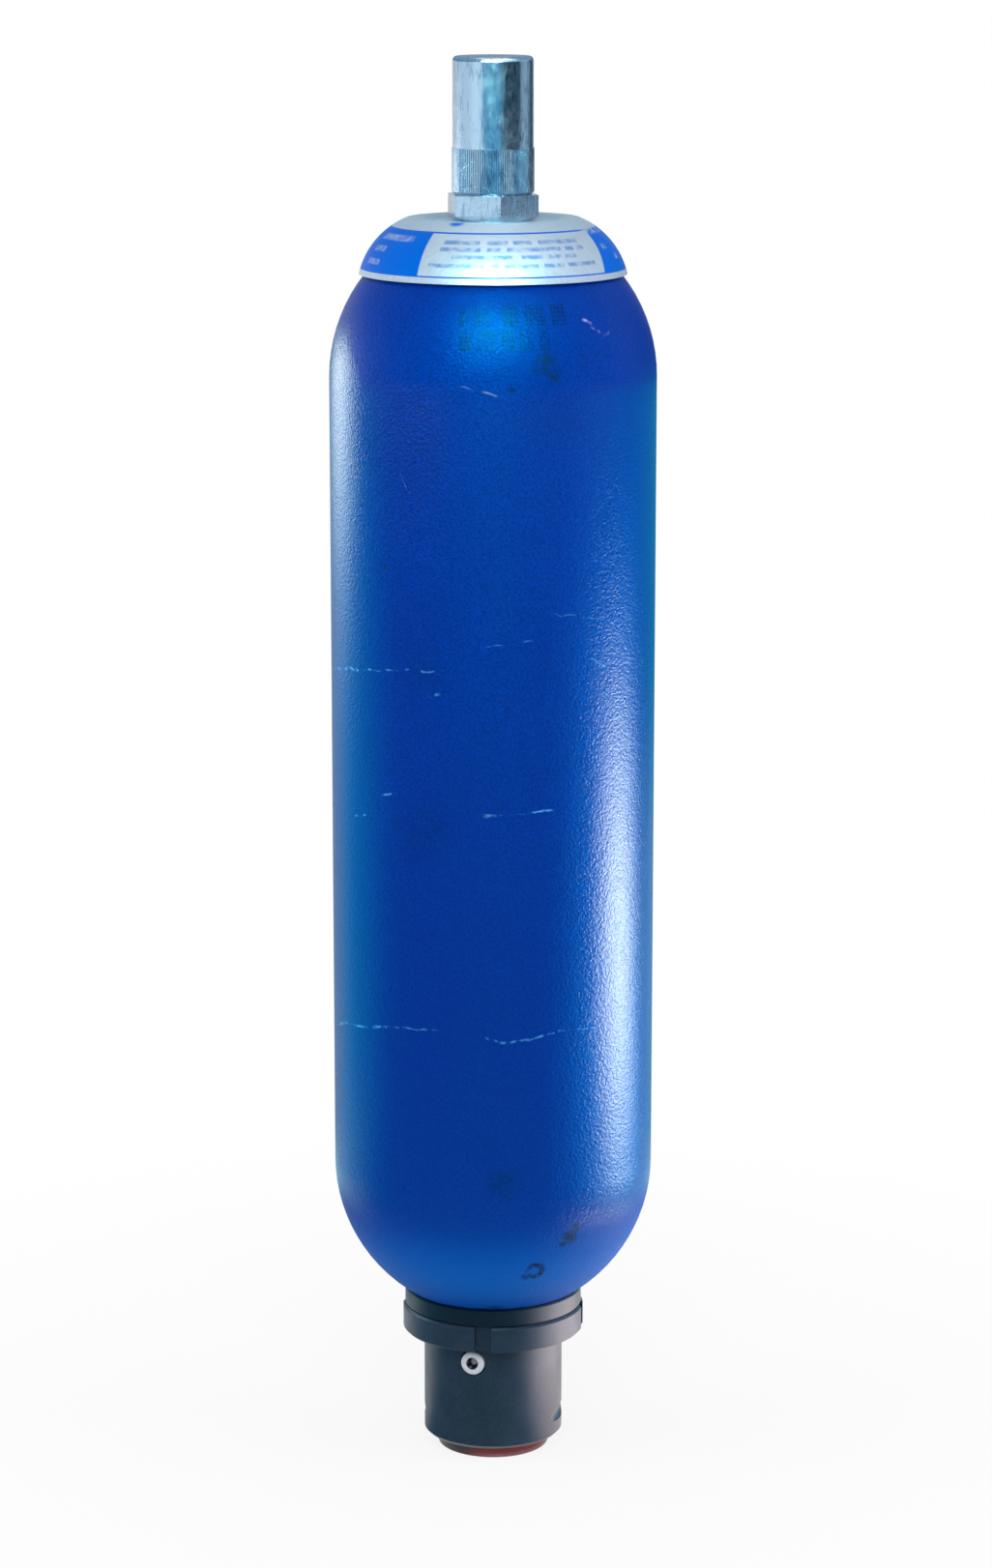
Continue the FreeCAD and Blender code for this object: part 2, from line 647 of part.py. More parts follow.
def make_port_body():
    entry_radius = "Levels.thread_radius + Sizes.port_thread_entry"
    guide_radius = "Levels.poppet_stem_radius + Sizes.running_clearance"
    body = turned_body("port_body", [
        corner(entry_radius, "Levels.port_foot"),
        corner("Levels.port_radius", "Levels.port_foot"),
        corner("Levels.port_radius", "Levels.flange_foot"),
        corner("Levels.flange_radius", "Levels.flange_foot"),
        corner("Levels.flange_radius", "Levels.port_top"),
        corner("Levels.throat_radius + Sizes.seat_height", "Levels.port_top"),
        corner("Levels.throat_radius", "Levels.throat_top"),
        corner("Levels.throat_radius", "Levels.web_top"),
        corner(guide_radius, "Levels.web_top"),
        corner(guide_radius, "Levels.web_foot"),
        corner("Levels.bush_recess_radius", "Levels.web_foot"),
        corner("Levels.bush_recess_radius", "Levels.hub_foot"),
        corner("Levels.hub_radius", "Levels.hub_foot"),
        corner("Levels.hub_radius", "Levels.web_foot"),
        corner("Levels.chamber_radius", "Levels.web_foot"),
        corner("Levels.chamber_radius", "Levels.thread_top"),
        corner("Levels.thread_radius", "Levels.thread_top"),
        corner("Levels.thread_radius", "Levels.port_foot + Sizes.port_thread_entry"),
    ])
    bevel(body, "Sizes.port_edge", [("Levels.port_radius", "Levels.port_foot")])
    hole_distance = "(Levels.hub_radius + Levels.chamber_radius) / 2"
    hole_diameter = "Levels.chamber_radius - Levels.hub_radius - 2 * Sizes.flow_hole_margin"
    hole_outline = round_outline(hole_distance, hole_diameter)
    flow_hole = mill(body, "flow_hole", hole_outline, "Levels.web_foot", "Sizes.port_web_height")
    repeat_about_axis(body, "flow_holes", flow_hole, "Sizes.flow_hole_count")
    cut_notches(body)
    cut_bleed_hole(body)
    return body


def cut_notches(body):
    """Two opposite notches for a spanner, each the bed of a round cutter run across the port's side."""
    cutter_radius = "(Sizes.notch_cutter_diameter / 2)"
    cutter_distance = f"(Levels.port_radius - Sizes.notch_depth + {cutter_radius})"
    half_length = "Levels.port_radius"
    turn = "Sizes.notch_turn"
    across = f"{cutter_distance} * sin({turn}) - {half_length} * cos({turn})"
    forward = f"-{cutter_distance} * cos({turn}) - {half_length} * sin({turn})"
    height = "Levels.port_foot + Sizes.notch_level"
    notch = drill(body, "spanner_notch", cutter_radius, f"2 * {half_length}",
                  f"placement(vector({across}; {forward}; {height}); rotation({turn}; 90; 0))")
    repeat_about_axis(body, "spanner_notches", notch, "2")


def in_bleed_hole(distance):
    """Placement on the bleed hole's axis, at a distance from the main axis and pointing outwards."""
    return out_of_side(distance, "Levels.bleed_level", "Sizes.bleed_turn")


def cut_bleed_hole(body):
    """Recess for the bleed screw's head, and its thread through to the port's chamber."""
    recess_radius = "Sizes.bleed_head_diameter / 2 + Sizes.bleed_recess_clearance"
    thread_radius = "Sizes.bleed_thread_diameter / 2 + Sizes.thread_clearance"
    drill(body, "bleed_recess", recess_radius, "Levels.port_radius",
          in_bleed_hole("Levels.bleed_seat"))
    drill(body, "bleed_thread", thread_radius, "Levels.port_radius - Levels.chamber_radius / 2",
          in_bleed_hole("Levels.chamber_radius / 2"))


def make_bleed_screw():
    """Socket-head screw, turned about its own Z axis from the tip of its shank at zero."""
    shank_radius = "Sizes.bleed_thread_diameter / 2"
    head_radius = "Sizes.bleed_head_diameter / 2"
    head_foot = "(Levels.bleed_seat - Levels.chamber_radius + Sizes.bleed_seal_height)"
    head_top = f"{head_foot} + Sizes.bleed_head_height"
    body = turned_body("bleed_screw", [
        corner("0", "0"),
        corner(shank_radius, "0"),
        corner(shank_radius, head_foot),
        corner(head_radius, head_foot),
        corner(head_radius, head_top),
        corner("0", head_top),
    ])
    bevel(body, "Sizes.bleed_head_edge", [(head_radius, head_top)])
    socket = body.newObject("PartDesign::SubtractivePrism", "bleed_socket")
    socket.Polygon = 6
    socket.setExpression("Circumradius", corner_radius("Sizes.bleed_socket_across"))
    socket.setExpression("Height", "Sizes.bleed_socket_depth")
    socket.setExpression("Placement.Base.z", f"{head_top} - Sizes.bleed_socket_depth")
    body.setExpression("Placement", in_bleed_hole("Levels.chamber_radius"))
    document.recompute()
    return body


def make_bleed_seal():
    body = ring_body("bleed_seal_ring", "Sizes.bleed_thread_diameter / 2 + Sizes.seal_clearance",
                     "Sizes.bleed_head_diameter / 2", "0", "Sizes.bleed_seal_height")
    body.setExpression("Placement", in_bleed_hole("Levels.bleed_seat"))
    document.recompute()
    return body


def make_lock_nut():
    bore = "Levels.port_radius + Sizes.thread_clearance"
    outer = "(Levels.port_radius + Sizes.lock_nut_wall)"
    slot_outline = bar_outline(f"{outer} - Sizes.lock_nut_slot_depth", f"2 * {outer}",
                               "Sizes.lock_nut_slot_width")
    body = ring_body("slotted_lock_nut", bore, outer, "Levels.lock_nut_foot", "Levels.lock_nut_top")
    bevel(body, "Sizes.lock_nut_edge", [(outer, "Levels.lock_nut_foot"), (outer, "Levels.lock_nut_top")])
    slot = mill(body, "hook_slot", slot_outline,
                "Levels.lock_nut_foot", "Sizes.lock_nut_height", "Sizes.lock_nut_turn")
    repeat_about_axis(body, "hook_slots", slot, "Sizes.lock_nut_slot_count")
    return body


def make_spacer_ring():
    bore = "Levels.port_radius + Sizes.thread_clearance"
    outer = "Levels.port_radius + Sizes.spacer_wall"
    collar = "Levels.mouth_radius - Sizes.seal_clearance"
    body = turned_body("spacer_ring", [
        corner(bore, "Levels.lock_nut_top"),
        corner(outer, "Levels.lock_nut_top"),
        corner(outer, "Levels.mouth_face"),
        corner(collar, "Levels.mouth_face"),
        corner(collar, "Levels.collar_top"),
        corner(bore, "Levels.collar_top"),
    ])
    bevel(body, "Sizes.spacer_edge", [(outer, "Levels.lock_nut_top"), (outer, "Levels.mouth_face")])
    return body


def make_anti_extrusion_ring():
    lip = "(Levels.mouth_radius - Sizes.seat_clearance)"
    outer = "(Levels.flange_radius + Sizes.ring_wall)"
    under_bend = "(Levels.lower_bend - Sizes.seat_clearance)"
    lip_rise = f"sqrt({under_bend} ^ 2 - ({lip} - Levels.lower_bend_centre) ^ 2)"
    outer_rise = f"sqrt({under_bend} ^ 2 - ({outer} - Levels.lower_bend_centre) ^ 2)"
    pocket = "Levels.flange_radius + Sizes.seal_clearance"
    bore = "Levels.port_radius + Sizes.seal_clearance"
    body = turned_body("anti_extrusion_ring", [
        corner(bore, "Levels.ring_foot"),
        corner(lip, "Levels.ring_foot"),
        corner(lip, f"Levels.lower_tangent - {lip_rise}"),
        bend(under_bend, "Levels.lower_bend_centre", "Levels.lower_tangent"),
        corner(outer, f"Levels.lower_tangent - {outer_rise}"),
        corner(outer, "Levels.port_top"),
        corner(pocket, "Levels.port_top"),
        corner(pocket, "Levels.flange_foot"),
        corner(bore, "Levels.flange_foot"),
    ])
    soften(body, "Sizes.ring_edge", [(outer, "Levels.port_top")])
    return body


def make_poppet():
    stem = "Levels.poppet_stem_radius"
    boss = "Levels.poppet_boss_radius"
    boss_foot = "Levels.poppet_foot - Sizes.poppet_boss_height"
    return turned_body("poppet", [
        corner("0", "Levels.poppet_end"),
        corner(stem, "Levels.poppet_end"),
        corner(stem, boss_foot),
        corner(boss, boss_foot),
        corner(boss, "Levels.poppet_foot"),
        corner("Levels.poppet_foot_radius", "Levels.poppet_foot"),
        corner("Levels.poppet_rim_radius", "Levels.poppet_rim_foot"),
        corner("Levels.poppet_rim_radius", "Levels.poppet_rim_top"),
        bend("Levels.poppet_crown_bend", "0", "Levels.poppet_top - Levels.poppet_crown_bend"),
        corner("0", "Levels.poppet_top"),
    ])


def make_stop_nut():
    body = turned_body("poppet_stop_nut", nut_outline(
        "Sizes.stop_nut_across", "Levels.poppet_stem_radius",
        "Levels.stop_nut_foot", "Levels.stop_nut_top", "Sizes.stop_nut_face_height"))
    mill_flats(body, "Sizes.stop_nut_across", "6", "Levels.stop_nut_foot", "Sizes.stop_nut_height", "0")
    return body


def make_bladder():
    collar = "(Levels.stem_flange_radius + Sizes.bladder_collar_height)"
    outer_bend = "Levels.bladder_bend"
    inner_bend = "(Levels.bladder_bend - Sizes.bladder_wall)"
    inner_radius = "Levels.bladder_radius - Sizes.bladder_wall"
    collar_rise = f"sqrt({outer_bend} ^ 2 - ({collar} - Levels.upper_bend_centre) ^ 2)"
    flange_rise = f"sqrt({inner_bend} ^ 2 - (Levels.stem_flange_radius - Levels.upper_bend_centre) ^ 2)"
    return turned_body("bladder", [
        corner("Levels.stem_radius", "Levels.neck_inside"),
        corner(collar, "Levels.neck_inside"),
        corner(collar, f"Levels.upper_tangent + {collar_rise}"),
        bend(outer_bend, "Levels.upper_bend_centre", "Levels.upper_tangent"),
        corner("Levels.bladder_radius", "Levels.upper_tangent"),
        corner("Levels.bladder_radius", "Levels.bladder_end_centre"),
        bend("Levels.bladder_radius", "0", "Levels.bladder_end_centre"),
        corner("0", "Levels.bladder_foot"),
        corner("0", "Levels.bladder_foot + Sizes.bladder_wall"),
        bend(inner_radius, "0", "Levels.bladder_end_centre"),
        corner(inner_radius, "Levels.bladder_end_centre"),
        corner(inner_radius, "Levels.upper_tangent"),
        bend(inner_bend, "Levels.upper_bend_centre", "Levels.upper_tangent"),
        corner("Levels.stem_flange_radius", f"Levels.upper_tangent + {flange_rise}"),
        corner("Levels.stem_flange_radius", "Levels.stem_flange_top"),
        corner("Levels.stem_radius", "Levels.stem_flange_top"),
    ])


def make_bladder_stem():
    seal_radius = "Levels.valve_thread_radius + Sizes.valve_ring_section"
    body = turned_body("bladder_stem", [
        corner("Sizes.stem_bore / 2", "Levels.stem_foot"),
        corner("Levels.stem_flange_radius", "Levels.stem_foot"),
        corner("Levels.stem_flange_radius", "Levels.stem_flange_top"),
        corner("Levels.stem_radius", "Levels.stem_flange_top"),
        corner("Levels.stem_radius", "Levels.stem_top"),
        corner(seal_radius, "Levels.stem_top"),
        corner(seal_radius, "Levels.valve_ring_foot"),
        corner("Levels.valve_thread_radius", "Levels.valve_ring_foot"),
        corner("Levels.valve_thread_radius", "Levels.valve_foot"),
        corner("Sizes.stem_bore / 2", "Levels.valve_foot"),
    ])
    mill_flats(body, "Sizes.stem_diameter - 2 * Sizes.stem_flat_depth", "2",
               "Levels.stem_top - Sizes.stem_flat_height", "Sizes.stem_flat_height", "0")
    return body


def make_name_plate():
    """Thin disc pressed to a shallow seat under the nut, a flat ring and a skirt over the shoulder."""
    centre = "Levels.plate_bend_centre"
    level = "Levels.plate_bend_level"
    under = "Levels.plate_under_bend"
    over = "Sizes.plate_bend"
    under_start = f"{centre} + sqrt({under} ^ 2 - (Levels.plate_underside - {level}) ^ 2)"
    under_end = f"{centre} + (Levels.plate_rim_radius - {centre}) * {under} / {over}"
    under_end_level = f"{level} + (Levels.plate_rim_top - {level}) * {under} / {over}"
    return turned_body("name_plate", [
        corner("Levels.neck_hole_radius", "Levels.neck_face"),
        corner("Levels.plate_seat_radius", "Levels.neck_face"),
        corner("Levels.plate_slope_radius", "Levels.plate_underside"),
        corner(under_start, "Levels.plate_underside"),
        bend(under, centre, level),
        corner(under_end, under_end_level),
        corner("Levels.plate_rim_radius", "Levels.plate_rim_top"),
        bend(over, centre, level),
        corner("Levels.plate_flat_radius", "Levels.plate_top"),
        corner("Levels.plate_slope_radius", "Levels.plate_top"),
        corner("Levels.plate_seat_radius", "Levels.plate_seat_top"),
        corner("Levels.neck_hole_radius", "Levels.plate_seat_top"),
    ])


def make_stem_nut():
    foot = "Levels.plate_seat_top"
    body = turned_body("stem_lock_nut", nut_outline(
        "Sizes.stem_nut_across", "Levels.stem_radius + Sizes.thread_clearance",
        foot, "Levels.stem_nut_top", "Sizes.stem_nut_face_height", "Sizes.stem_nut_edge"))
    mill_flats(body, "Sizes.stem_nut_across", "6", foot, "Sizes.stem_nut_height", "Sizes.stem_nut_turn")
    return body


def make_protection_cap():
    bore = "Levels.cap_bore_radius"
    outer = f"{bore} + Sizes.cap_wall"
    band = f"{outer} + Sizes.cap_band_step"
    band_top = "Levels.stem_nut_top + Sizes.cap_band_height"
    body = turned_body("protection_cap", [
        corner(bore, "Levels.stem_nut_top"),
        corner(band, "Levels.stem_nut_top"),
        corner(band, band_top),
        corner(outer, band_top),
        corner(outer, "Levels.cap_top"),
        corner("0", "Levels.cap_top"),
        corner("0", "Levels.cap_roof_foot"),
        corner(bore, "Levels.cap_roof_foot"),
    ])
    bevel(body, "Sizes.cap_foot_edge", [(band, "Levels.stem_nut_top")])
    soften(body, "Sizes.cap_top_edge", [(outer, "Levels.cap_top")])
    cut_knurl(body, band)
    return body


def cut_knurl(body, radius):
    """Straight knurl on the cap's lower band, as square-cornered grooves along the axis."""
    def draw_groove(sketch):
        draw_outline(sketch, [
            corner(f"{radius} - Sizes.knurl_depth", "0"),
            corner(f"{radius} + Sizes.knurl_depth", "-2 * Sizes.knurl_depth"),
            corner(f"{radius} + Sizes.knurl_depth", "2 * Sizes.knurl_depth"),
        ])
    groove = mill(body, "knurl_groove", draw_groove, "Levels.stem_nut_top", "Sizes.cap_band_height")
    repeat_about_axis(body, "knurl", groove, "Sizes.knurl_count")


def make_gas_valve_body():
    bore = "Sizes.valve_bore / 2"
    shank = "Levels.valve_thread_radius - Sizes.thread_clearance"
    collar = "(Levels.cap_bore_radius - Sizes.valve_collar_clearance)"
    spigot = "Sizes.valve_spigot_diameter / 2"
    body = turned_body("gas_valve_body", [
        corner(bore, "Levels.valve_foot"),
        corner(shank, "Levels.valve_foot"),
        corner(shank, "Levels.stem_top"),
        corner(collar, "Levels.stem_top"),
        corner(collar, "Levels.valve_collar_top"),
        corner(spigot, "Levels.valve_collar_top"),
        corner(spigot, "Levels.valve_top"),
        corner(bore, "Levels.valve_top"),
    ])
    mill_flats(body, f"2 * {collar} * cos(30)", "6", "Levels.stem_top", "Sizes.valve_collar_height", "0")
    return body


def make_gas_valve_core():
    outer = "Sizes.valve_bore / 2 - Sizes.thread_clearance"
    chamber = "Sizes.core_chamber_diameter / 2"
    guide = "Levels.pin_radius + Sizes.running_clearance"
    return turned_body("gas_valve_core", [
        corner(guide, "Levels.core_foot"),
        corner(outer, "Levels.core_foot"),
        corner(outer, "Levels.core_top"),
        corner(guide, "Levels.core_top"),
        corner(guide, "Levels.core_roof"),
        corner(chamber, "Levels.core_roof"),
        corner(chamber, "Levels.core_spring_foot"),
        corner(guide, "Levels.core_spring_foot"),
    ])


def make_gas_valve_pin():
    head = "Sizes.pin_head_diameter / 2"
    collar = "Sizes.pin_collar_diameter / 2"
    head_foot = "Levels.pin_head_top - Sizes.pin_head_height"
    return turned_body("gas_valve_pin", [
        corner("0", head_foot),
        corner(head, head_foot),
        corner(head, "Levels.pin_head_top"),
        corner("Levels.pin_radius", "Levels.pin_head_top"),
        corner("Levels.pin_radius", "Levels.pin_collar_foot"),
        corner(collar, "Levels.pin_collar_foot"),
        corner(collar, "Levels.pin_collar_top"),
        corner("Levels.pin_radius", "Levels.pin_collar_top"),
        corner("Levels.pin_radius", "Levels.pin_top"),
        corner("0", "Levels.pin_top"),
    ])


def make_gas_valve_cap():
    inner = "Sizes.valve_spigot_diameter / 2 + Sizes.thread_clearance"
    outer = f"{inner} + Sizes.valve_cap_wall"
    foot = "Levels.valve_top - Sizes.valve_cap_skirt"
    return turned_body("gas_valve_cap", [
        corner(inner, foot),
        corner(outer, foot),
        corner(outer, "Levels.valve_cap_top"),
        corner("0", "Levels.valve_cap_top"),
        corner("0", "Levels.valve_top"),
        corner(inner, "Levels.valve_top"),
    ])


def make_pieces():
    """All pieces, from the plug up to the cap."""
    ring_radius = "Levels.port_radius + Sizes.port_seal_gap / 2"
    coil_radius = ("Levels.poppet_boss_radius + Sizes.poppet_spring_clearance"
                   " + Sizes.poppet_spring_wire / 2")
    inside_mouth = "Levels.port_radius + Sizes.seal_clearance"
    mouth = "Levels.mouth_radius - Sizes.seal_clearance"
    return [
        make_port_plug(),
        make_port_body(),
        make_bleed_screw(),
        make_bleed_seal(),
        make_lock_nut(),
        make_spacer_ring(),
        ring_body("backup_ring", inside_mouth, mouth, "Levels.collar_top", "Levels.backup_top"),
        seal_body("port_o_ring", ring_radius, "Sizes.port_seal_gap - 2 * Sizes.seal_clearance",
                  "Levels.backup_top + Sizes.port_seal_gap / 2"),
        ring_body("support_washer", inside_mouth, mouth, "Levels.washer_foot", "Levels.ring_foot"),
        make_anti_extrusion_ring(),
        make_poppet(),
        ring_body("damping_bush", "Levels.poppet_stem_radius", "Levels.bush_radius",
                  "Levels.stop_nut_top", "Levels.stop_nut_top + Sizes.bush_height"),
        make_stop_nut(),
        spring_body("poppet_spring", coil_radius, "Sizes.poppet_spring_wire",
                    "Sizes.poppet_spring_turns", "Levels.web_top",
                    "Levels.poppet_foot - Sizes.stop_clearance"),
        make_shell(),
        make_bladder(),
        make_bladder_stem(),
        make_name_plate(),
        make_stem_nut(),
        make_gas_valve_body(),
        seal_body("gas_valve_o_ring", "Levels.valve_thread_radius + Sizes.valve_ring_section / 2",
                  "Sizes.valve_ring_section - 2 * Sizes.seal_clearance",
                  "Levels.stem_top - Sizes.valve_ring_section / 2"),
        make_gas_valve_core(),
        make_gas_valve_pin(),
        spring_body("gas_valve_spring", "Sizes.pin_spring_diameter / 2", "Sizes.pin_spring_wire",
                    "Sizes.pin_spring_turns", "Levels.core_spring_foot",
                    "Levels.pin_collar_foot - Sizes.stop_clearance"),
        make_gas_valve_cap(),
        make_protection_cap(),
    ]


def check_and_write(pieces):
    """Stop on any failed object or bad shape, then write one STEP file a piece."""
    for item in document.Objects:
        if "Invalid" in item.State or "Error" in item.State:
            raise RuntimeError(f"{item.Label} failed: {item.State}")
    for piece in pieces:
        shape = piece.Shape
        if shape.isNull() or not shape.isValid() or len(shape.Solids) != 1:
            raise RuntimeError(f"{piece.Label} has a bad shape")
    os.makedirs("parts", exist_ok=True)
    for piece in pieces:
        piece.Shape.exportStep(f"parts/{piece.Label}.step")
        print(f"{piece.Label}: {piece.Shape.Volume / 1000:.2f} cubic cm")


check_and_write(make_pieces())
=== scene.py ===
import math

import bpy
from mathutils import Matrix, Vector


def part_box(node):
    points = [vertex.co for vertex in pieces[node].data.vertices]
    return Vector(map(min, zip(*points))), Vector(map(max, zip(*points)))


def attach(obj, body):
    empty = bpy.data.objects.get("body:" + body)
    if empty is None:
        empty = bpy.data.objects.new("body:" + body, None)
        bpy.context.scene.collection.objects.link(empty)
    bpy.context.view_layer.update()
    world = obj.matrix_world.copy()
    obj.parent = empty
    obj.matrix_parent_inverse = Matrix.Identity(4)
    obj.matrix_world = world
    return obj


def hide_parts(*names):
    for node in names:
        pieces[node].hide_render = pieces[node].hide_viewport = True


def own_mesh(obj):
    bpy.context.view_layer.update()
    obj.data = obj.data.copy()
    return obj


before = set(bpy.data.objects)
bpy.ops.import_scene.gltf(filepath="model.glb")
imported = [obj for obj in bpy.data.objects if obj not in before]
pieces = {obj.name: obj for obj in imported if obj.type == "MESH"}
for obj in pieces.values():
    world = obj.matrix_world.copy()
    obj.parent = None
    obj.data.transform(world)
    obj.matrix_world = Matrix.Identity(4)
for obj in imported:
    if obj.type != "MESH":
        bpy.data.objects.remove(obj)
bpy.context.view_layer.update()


# Shell: the seamless steel bottle, forged from tube with both ends spun round and its mouth and
# neck turned. It is sprayed with blue enamel and baked, and then handled bare, so it is scratched.

BOTTLE_RADIUS = 0.057
# heights where the two round ends begin
LOWER_END, UPPER_END = 0.108, 0.390


def linear(code):
    """Linear colour of an sRGB hex value."""
    channels = [int(code[start:start + 2], 16) / 255 for start in (1, 3, 5)]
    return [c / 12.92 if c <= 0.04045 else ((c + 0.055) / 1.055) ** 2.4 for c in channels] + [1.0]


def add_node(material, kind, inputs, output=0, **settings):
    """Adds a node with its settings and its inputs, values or links, and gives its output."""
    node = material.node_tree.nodes.new(kind)
    for name, value in settings.items():
        setattr(node, name, value)
    for name, value in inputs.items():
        if isinstance(value, bpy.types.NodeSocket):
            material.node_tree.links.new(value, node.inputs[name])
        else:
            node.inputs[name].default_value = value
    return node.outputs[output]


def new_material(name):
    """Material with an empty node tree."""
    material = bpy.data.materials.new(name)
    material.use_nodes = True
    material.node_tree.nodes.clear()
    return material


def put_on(material, shader, *names):
    """Makes the shader the material's surface, and puts the material on the named CAD pieces."""
    surface = material.node_tree.nodes.new("ShaderNodeOutputMaterial")
    material.node_tree.links.new(shader, surface.inputs["Surface"])
    for name in names:
        for slot in pieces[name].material_slots:
            slot.material = material


def turn_at(material, place):
    """Degrees by which a place lies to the right of the front, about the object's axis."""
    x, y = add_node(material, "ShaderNodeSeparateXYZ", {"Vector": place}).node.outputs[:2]
    forward = add_node(material, "ShaderNodeMath", {0: y, 1: -1.0}, operation="MULTIPLY")
    turn = add_node(material, "ShaderNodeMath", {0: x, 1: forward}, operation="ARCTAN2")
    return add_node(material, "ShaderNodeMath", {0: turn}, operation="DEGREES")


def within(material, value, low, high, soft):
    """Mask of one where the value lies between low and high, and nothing outside, softly."""
    middle = (low + high) / 2
    half = (high - low) / 2
    offset = add_node(material, "ShaderNodeMath", {0: value, 1: middle}, operation="SUBTRACT")
    distance = add_node(material, "ShaderNodeMath", {0: offset}, operation="ABSOLUTE")
    return add_node(material, "ShaderNodeMapRange", {
        "Value": distance, "From Min": half - soft / 2, "From Max": half + soft / 2,
        "To Min": 1.0, "To Max": 0.0}, interpolation_type="SMOOTHSTEP")


def spot(material, place, point, full, gone, strength, falloff="LINEAR"):
    """Mask of a round spot about a point, full out to one distance and gone at another."""
    distance = add_node(material, "ShaderNodeVectorMath", {0: place, 1: point},
                        output="Value", operation="DISTANCE")
    return add_node(material, "ShaderNodeMapRange", {
        "Value": distance, "From Min": full, "From Max": gone,
        "To Min": strength, "To Max": 0.0}, interpolation_type=falloff)


def overlap(material, *masks):
    """Mask of what lies in all the masks."""
    shared = masks[0]
    for mask in masks[1:]:
        shared = add_node(material, "ShaderNodeMath", {0: shared, 1: mask}, operation="MULTIPLY")
    return shared


def union(material, *masks):
    """Mask of what lies in any of the masks."""
    joined = masks[0]
    for mask in masks[1:]:
        joined = add_node(material, "ShaderNodeMath", {0: joined, 1: mask}, operation="MAXIMUM")
    return joined


# Baked alkyd enamel, sprayed: a deep blue film with a soft gloss. Its droplets flowed into a fine
# orange peel, about 1 mm across, that breaks up every highlight.
enamel = new_material("baked_blue_enamel")
place = add_node(enamel, "ShaderNodeTexCoord", {}, output="Object")
height = add_node(enamel, "ShaderNodeSeparateXYZ", {"Vector": place}, output="Z")
turn = turn_at(enamel, place)
# a mottle 25 mm across, under the droplets' own speckle of 0.7 mm
mottle = add_node(enamel, "ShaderNodeTexNoise", {"Vector": place, "Scale": 40.0, "Detail": 6.0})
speckle = add_node(enamel, "ShaderNodeTexNoise", {
    "Vector": place, "Scale": 1400.0, "Detail": 2.0})
speckle = add_node(enamel, "ShaderNodeMapRange", {
    "Value": speckle, "From Min": 0.34, "From Max": 0.66})
film = add_node(enamel, "ShaderNodeMixRGB", {
    "Fac": mottle, "Color1": linear("#002A98"), "Color2": linear("#0036AE")})
film = add_node(enamel, "ShaderNodeMixRGB", {
    "Fac": speckle, "Color1": linear("#00207E"), "Color2": film})
# painted shade darkens the film towards the foot; a painted reflection pales the lower round end
painted_shade_low = add_node(enamel, "ShaderNodeMapRange", {
    "Value": height, "From Min": 0.17, "From Max": 0.33, "To Min": 0.45, "To Max": 0.0})
film = add_node(enamel, "ShaderNodeMixRGB", {
    "Fac": painted_shade_low, "Color1": film, "Color2": linear("#002484")})
painted_reflection_low_end = within(enamel, height, 0.060, 0.089, 0.030)
film = add_node(enamel, "ShaderNodeMixRGB", {
    "Fac": painted_reflection_low_end, "Color1": film, "Color2": linear("#0057B6")})

# blank bars under the neck, marked in dots: heights in mm, and degrees to the right of each bar
DOT_ROWS = [
    (412.4, 419.2, [(-13.0, -8.8), (-7.5, -1.5), (3.5, 9.5), (11.5, 20.0), (22.5, 28.5)]),
    (404.2, 411.2, [(-12.4, -7.0), (-5.5, 0.5), (2.5, 8.0), (9.5, 14.5), (17.0, 20.5)]),
]
# in mm: the bottle's radius there, the dots' pitch, half the gap between them, their soft edge
DOT_ROW_RADIUS, DOT_PITCH, DOT_HALF_GAP, DOT_EDGE = 50.0, 1.3, 0.15, 0.3
# soft edge of the bars, in mm up and down and in degrees at their sides
BAR_EDGE = 0.6
millimetres = add_node(enamel, "ShaderNodeMath", {0: height, 1: 1000.0}, operation="MULTIPLY")
arc = add_node(enamel, "ShaderNodeMath", {
    0: turn, 1: math.radians(DOT_ROW_RADIUS)}, operation="MULTIPLY")
bars = []
for low, high, sides in DOT_ROWS:
    row = within(enamel, millimetres, low, high, BAR_EDGE)
    bars += [overlap(enamel, row, within(enamel, turn, left, right, BAR_EDGE))
             for left, right in sides]
dots = []
for way in (arc, millimetres):
    from_gap = add_node(enamel, "ShaderNodeMath", {0: way, 1: DOT_PITCH / 2}, operation="PINGPONG")
    dots.append(within(enamel, from_gap, DOT_HALF_GAP, DOT_PITCH - DOT_HALF_GAP, DOT_EDGE))
worn = add_node(enamel, "ShaderNodeTexNoise", {"Vector": place, "Scale": 150.0, "Detail": 3.0})
worn = add_node(enamel, "ShaderNodeMapRange", {
    "Value": worn, "From Min": 0.35, "From Max": 0.6, "To Min": 0.3, "To Max": 0.95})
film = add_node(enamel, "ShaderNodeMixRGB", {
    "Fac": overlap(enamel, union(enamel, *bars), *dots, worn),
    "Color1": film, "Color2": linear("#000A4A")})

# dark rubs of rubber and grease: degrees to the right, height, radius in mm, strength
RUBS = [
    (18.5, 0.4005, 6.5, 1.0), (21.0, 0.3960, 4.5, 0.9), (15.0, 0.3985, 3.5, 0.6),
    (6.5, 0.3915, 2.4, 1.0), (29.3, 0.0925, 4.6, 1.7), (31.8, 0.0962, 2.8, 1.5),
    (27.0, 0.0905, 2.6, 1.2), (3.5, 0.1145, 9.0, 0.5), (-4.0, 0.4085, 2.2, 0.35),
    (33.0, 0.4020, 3.0, 0.4), (-40.0, 0.3300, 1.4, 0.8), (1.5, 0.0615, 4.0, 0.9),
    (-6.0, 0.0600, 3.0, 0.7), (-24.0, 0.2950, 14.0, 0.22), (-24.0, 0.2400, 16.0, 0.25),
]


